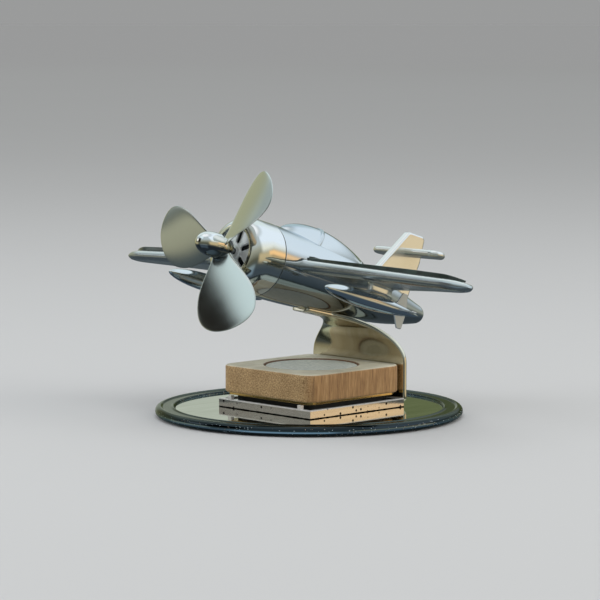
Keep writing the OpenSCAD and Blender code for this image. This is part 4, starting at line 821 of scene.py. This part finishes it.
# Tail: a thick fin with well rounded edges, and a stabiliser whose edges are full rounds
tail = {"thick": 3, "edge": 1, "stabSpan": 30.6, "stabChord": 7, "stabY": 93.9, "stabZ": 17.7,
    "stabThick": 2.3}
finLine = roundCorners([[78.8, 0], [95.9, -1.5], [96.8, 3], [99.13, 15.4], [99.13, 24.3], [90.9, 24.3],
    [78.8, 8.6]], [0.5, 0.5, 2, 2, 1.6, 1.9, 1.0], 9, 0.15)
finGrid = slab(finLine, -tail["thick"] / 2, tail["thick"] / 2, tail["edge"], 9, 0.12)[..., [2, 0, 1]]
makePiece("finPlate", "fin", "finPlating", [inPlane(finGrid)])
r, half = tail["stabChord"] / 2, tail["stabThick"] / 2
reach = tail["stabSpan"] / 2 - r
stabLine = np.concatenate([[[-reach + 0.2, -r], [reach - 0.2, -r]], arc((reach, 0), r, -90, 90, 30),
    [[reach - 0.2, r], [-reach + 0.2, r]], arc((-reach, 0), r, 90, 270, 30)])
stabGrid = slab(stabLine, -half, half, half, 12, 0.1) + [0, tail["stabY"], tail["stabZ"]]
makePiece("stabiliserBar", "stabiliser", "finPlating", [inPlane(stabGrid)])
print("tail done")

# Nodes whose form is right keep it and get their finish
kept = {"foot_pad": "footRubber", "mounting_tape": "tapeFoam", "tray_screws": "blackenedSteel",
    "pedestal": "blackAbs", "carrier_screws": "blackenedSteel", "motor_mount": "blackAbs",
    "motor_can": "drawnSteel", "motor_magnet": "ferrite", "motor_end_cap": "whiteNylon",
    "motor_bearing": "giltBrass", "motor_rotor": "copperWinding", "motor_shaft": "drawnSteel",
    "wing_spar": "drawnSteel", "panel_leads_left": "redPvc", "panel_leads_right": "redPvc"}
for node, finish in kept.items():
    materials = frame["nodes"][node].data.materials
    materials.clear()
    materials.append(finishes[finish])
print("kept nodes finished:", len(kept))

# Floor: matt paint, rolled, with faint clouds a quarter of a metre wide. The world has the far floor's tone
# for the camera, metal and glass, so that no horizon shows, and gives white light to all else.
studio = {"floor": "#CFD0D0", "cloudShade": 0.985, "worldLight": 0.52, "floorReach": 40}
shader, add, place = newFinish("paintedFloor", {"Roughness": 0.9, "Specular IOR Level": 0.1})
floorTone = linear(studio["floor"])
shaded = [studio["cloudShade"] * v for v in floorTone[:3]] + [1]
cloud = add("TexNoise", blotches(place["Object"], 260, 2))
wire(shader, {"Base Color": add("Mix", {0: cloud, 6: shaded, 7: floorTone}, data_type="RGBA")})
rings = [[radius, 0] for radius in (0, 100, 500, 2000, studio["floorReach"] * 1000)]
floor = makePiece("floor", None, "paintedFloor", [turned(rings, 96)], None, ends=False)

world = bpy.data.worlds.new("studio")
scene.world = world
world.use_nodes = True
world.node_tree.nodes.clear()
add = partial(addNode, world.node_tree)
rays = add("LightPath").outputs
seen = add("Math", [rays["Is Camera Ray"], rays["Is Glossy Ray"]], operation="MAXIMUM")
seen = add("Math", [seen, rays["Is Transmission Ray"]], operation="MAXIMUM")
light, wall = (add("Background", [tone, studio["worldLight"]]) for tone in ("#FFFFFF", floorTone))
add("OutputWorld", [add("MixShader", [seen, light, wall])])

# What polished faces see instead of the floor and the world: a wide closed surround, dark as the table the
# real one stood on, with feathered soft boxes and tinted screens on it. Each patch: turn and half width, rise
# and half height, feather (degrees; turn and rise as the camera's), and colour.
surround = {"radius": 6, "ground": "#5A666E", "horizon": "#5C625C", "sky": "#AAB6B9", "patches": [
    (302, 24, -9, 9, 4, "#B2B4A3"), (262, 24, 6, 16, 8, "#A8AA8E"), (180, 20, -1, 7, 6, "#A3AAA2"),
    (137, 15, -8, 7, 4, "#E6D6B6"), (104, 24, -2, 13, 8, "#C6BEA6"), (25, 42, -38, 18, 8, "#9DB4C2"),
    (152, 56, 37, 23, 9, "#E0EDF6"), (240, 46, 44, 18, 9, "#D6E4E4"), (135, 12, 7, 5, 4, "#FCD8AA"),
    (232, 14, 3, 9, 4, "#BCC4BA"), (211, 14.5, 4.5, 5.5, 1.5, "#66704F"), (345, 40, 58, 15, 8, "#D2E4E9"),
    (337, 18, 22, 18, 5, "#181511"), (309, 8, 18, 6, 4, "#FAFEFF"), (315, 8, 6, 3, 2, "#7C7670"),
    (45, 180, 90, 22, 10, "#EEF3F5")]}
shader, add, place = newFinish("surround")
axes = add("SeparateXYZ", [add("VectorMath", [place["Object"]], operation="NORMALIZE")]).outputs
rise = add("Math", [axes[2]], operation="ARCSINE")
front = add("Math", [axes[1], -1], operation="MULTIPLY")
turn = add("Math", [axes[0], front], operation="ARCTAN2")
colour = add("ValToRGB", [add("MapRange", [axes[2], -1])],
    [(0.3, surround["ground"]), (0.48, surround["horizon"]), (0.8, surround["sky"])])


def feathered(value, centre, half, feather, closed):
    # 1 within half of the centre and 0 beyond, with a smooth edge; closed wraps a full turn
    centre, low, high = (math.radians(v) for v in (centre, half - feather, half + feather))
    away = add("Math", [value, centre], operation="SUBTRACT")
    if closed:
        away = add("Math", [away, -math.pi, math.pi], operation="WRAP")
    away = add("Math", [away], operation="ABSOLUTE")
    return add("MapRange", [away, low, high, 1, 0], interpolation_type="SMOOTHSTEP")


for patchTurn, halfTurn, patchRise, halfRise, feather, tone in surround["patches"]:
    wide = feathered(turn, patchTurn, halfTurn, feather, True)
    tall = feathered(rise, patchRise, halfRise, feather, False)
    mask = add("Math", [wide, tall], operation="MULTIPLY")
    colour = add("Mix", {0: mask, 6: colour, 7: tone}, data_type="RGBA")
shader.id_data.nodes.remove(shader)
wire(finishes["surround"].node_tree.nodes["Material Output"], [add("Emission", [colour])])
slope = np.linspace(-np.pi / 2, np.pi / 2, 49)
profile = surround["radius"] * 1000 * stack(np.cos(slope), np.sin(slope))
shell = makePiece("surround", None, "surround", [turned(profile, 96)], None, ends=False)
shell.visible_camera = shell.visible_diffuse = shell.visible_shadow = shell.visible_transmission = False
floor.visible_glossy = False

# Lamps: rectangular soft boxes, each at a place looking at the axis at a height, with its width and height
# (metres), radiance and colour; they light but are not seen
for name, place, aimHeight, width, height, radiance, colour in (
        ("overheadLamp", (0, 0, 1), 0, 1.1, 1.1, 0.95, "#F8FBFF"),
        ("rightLamp", (1.12, 0.52, 0.68), 0.02, 1, 0.6, 2.6, "#FFFBF4"),
        ("leftLamp", (-0.62, -1.07, 0.68), 0.02, 1, 0.6, 2.6, "#F8FBFF")):
    lamp = bpy.data.lights.new(name, "AREA")
    lamp.shape, lamp.size, lamp.size_y = "RECTANGLE", width, height
    lamp.energy = radiance * math.pi * width * height
    lamp.color = linear(colour)[:3]
    box = bpy.data.objects.new(name, lamp)
    back = np.array(place, float) - [0, 0, aimHeight]
    back /= np.linalg.norm(back)
    right = np.cross([0, 0, 1] if abs(back[2]) < 0.99 else [0, 1, 0], back)
    setAt(box, right / np.linalg.norm(right), back, place)
    box.visible_camera = box.visible_glossy = False
print("studio done")
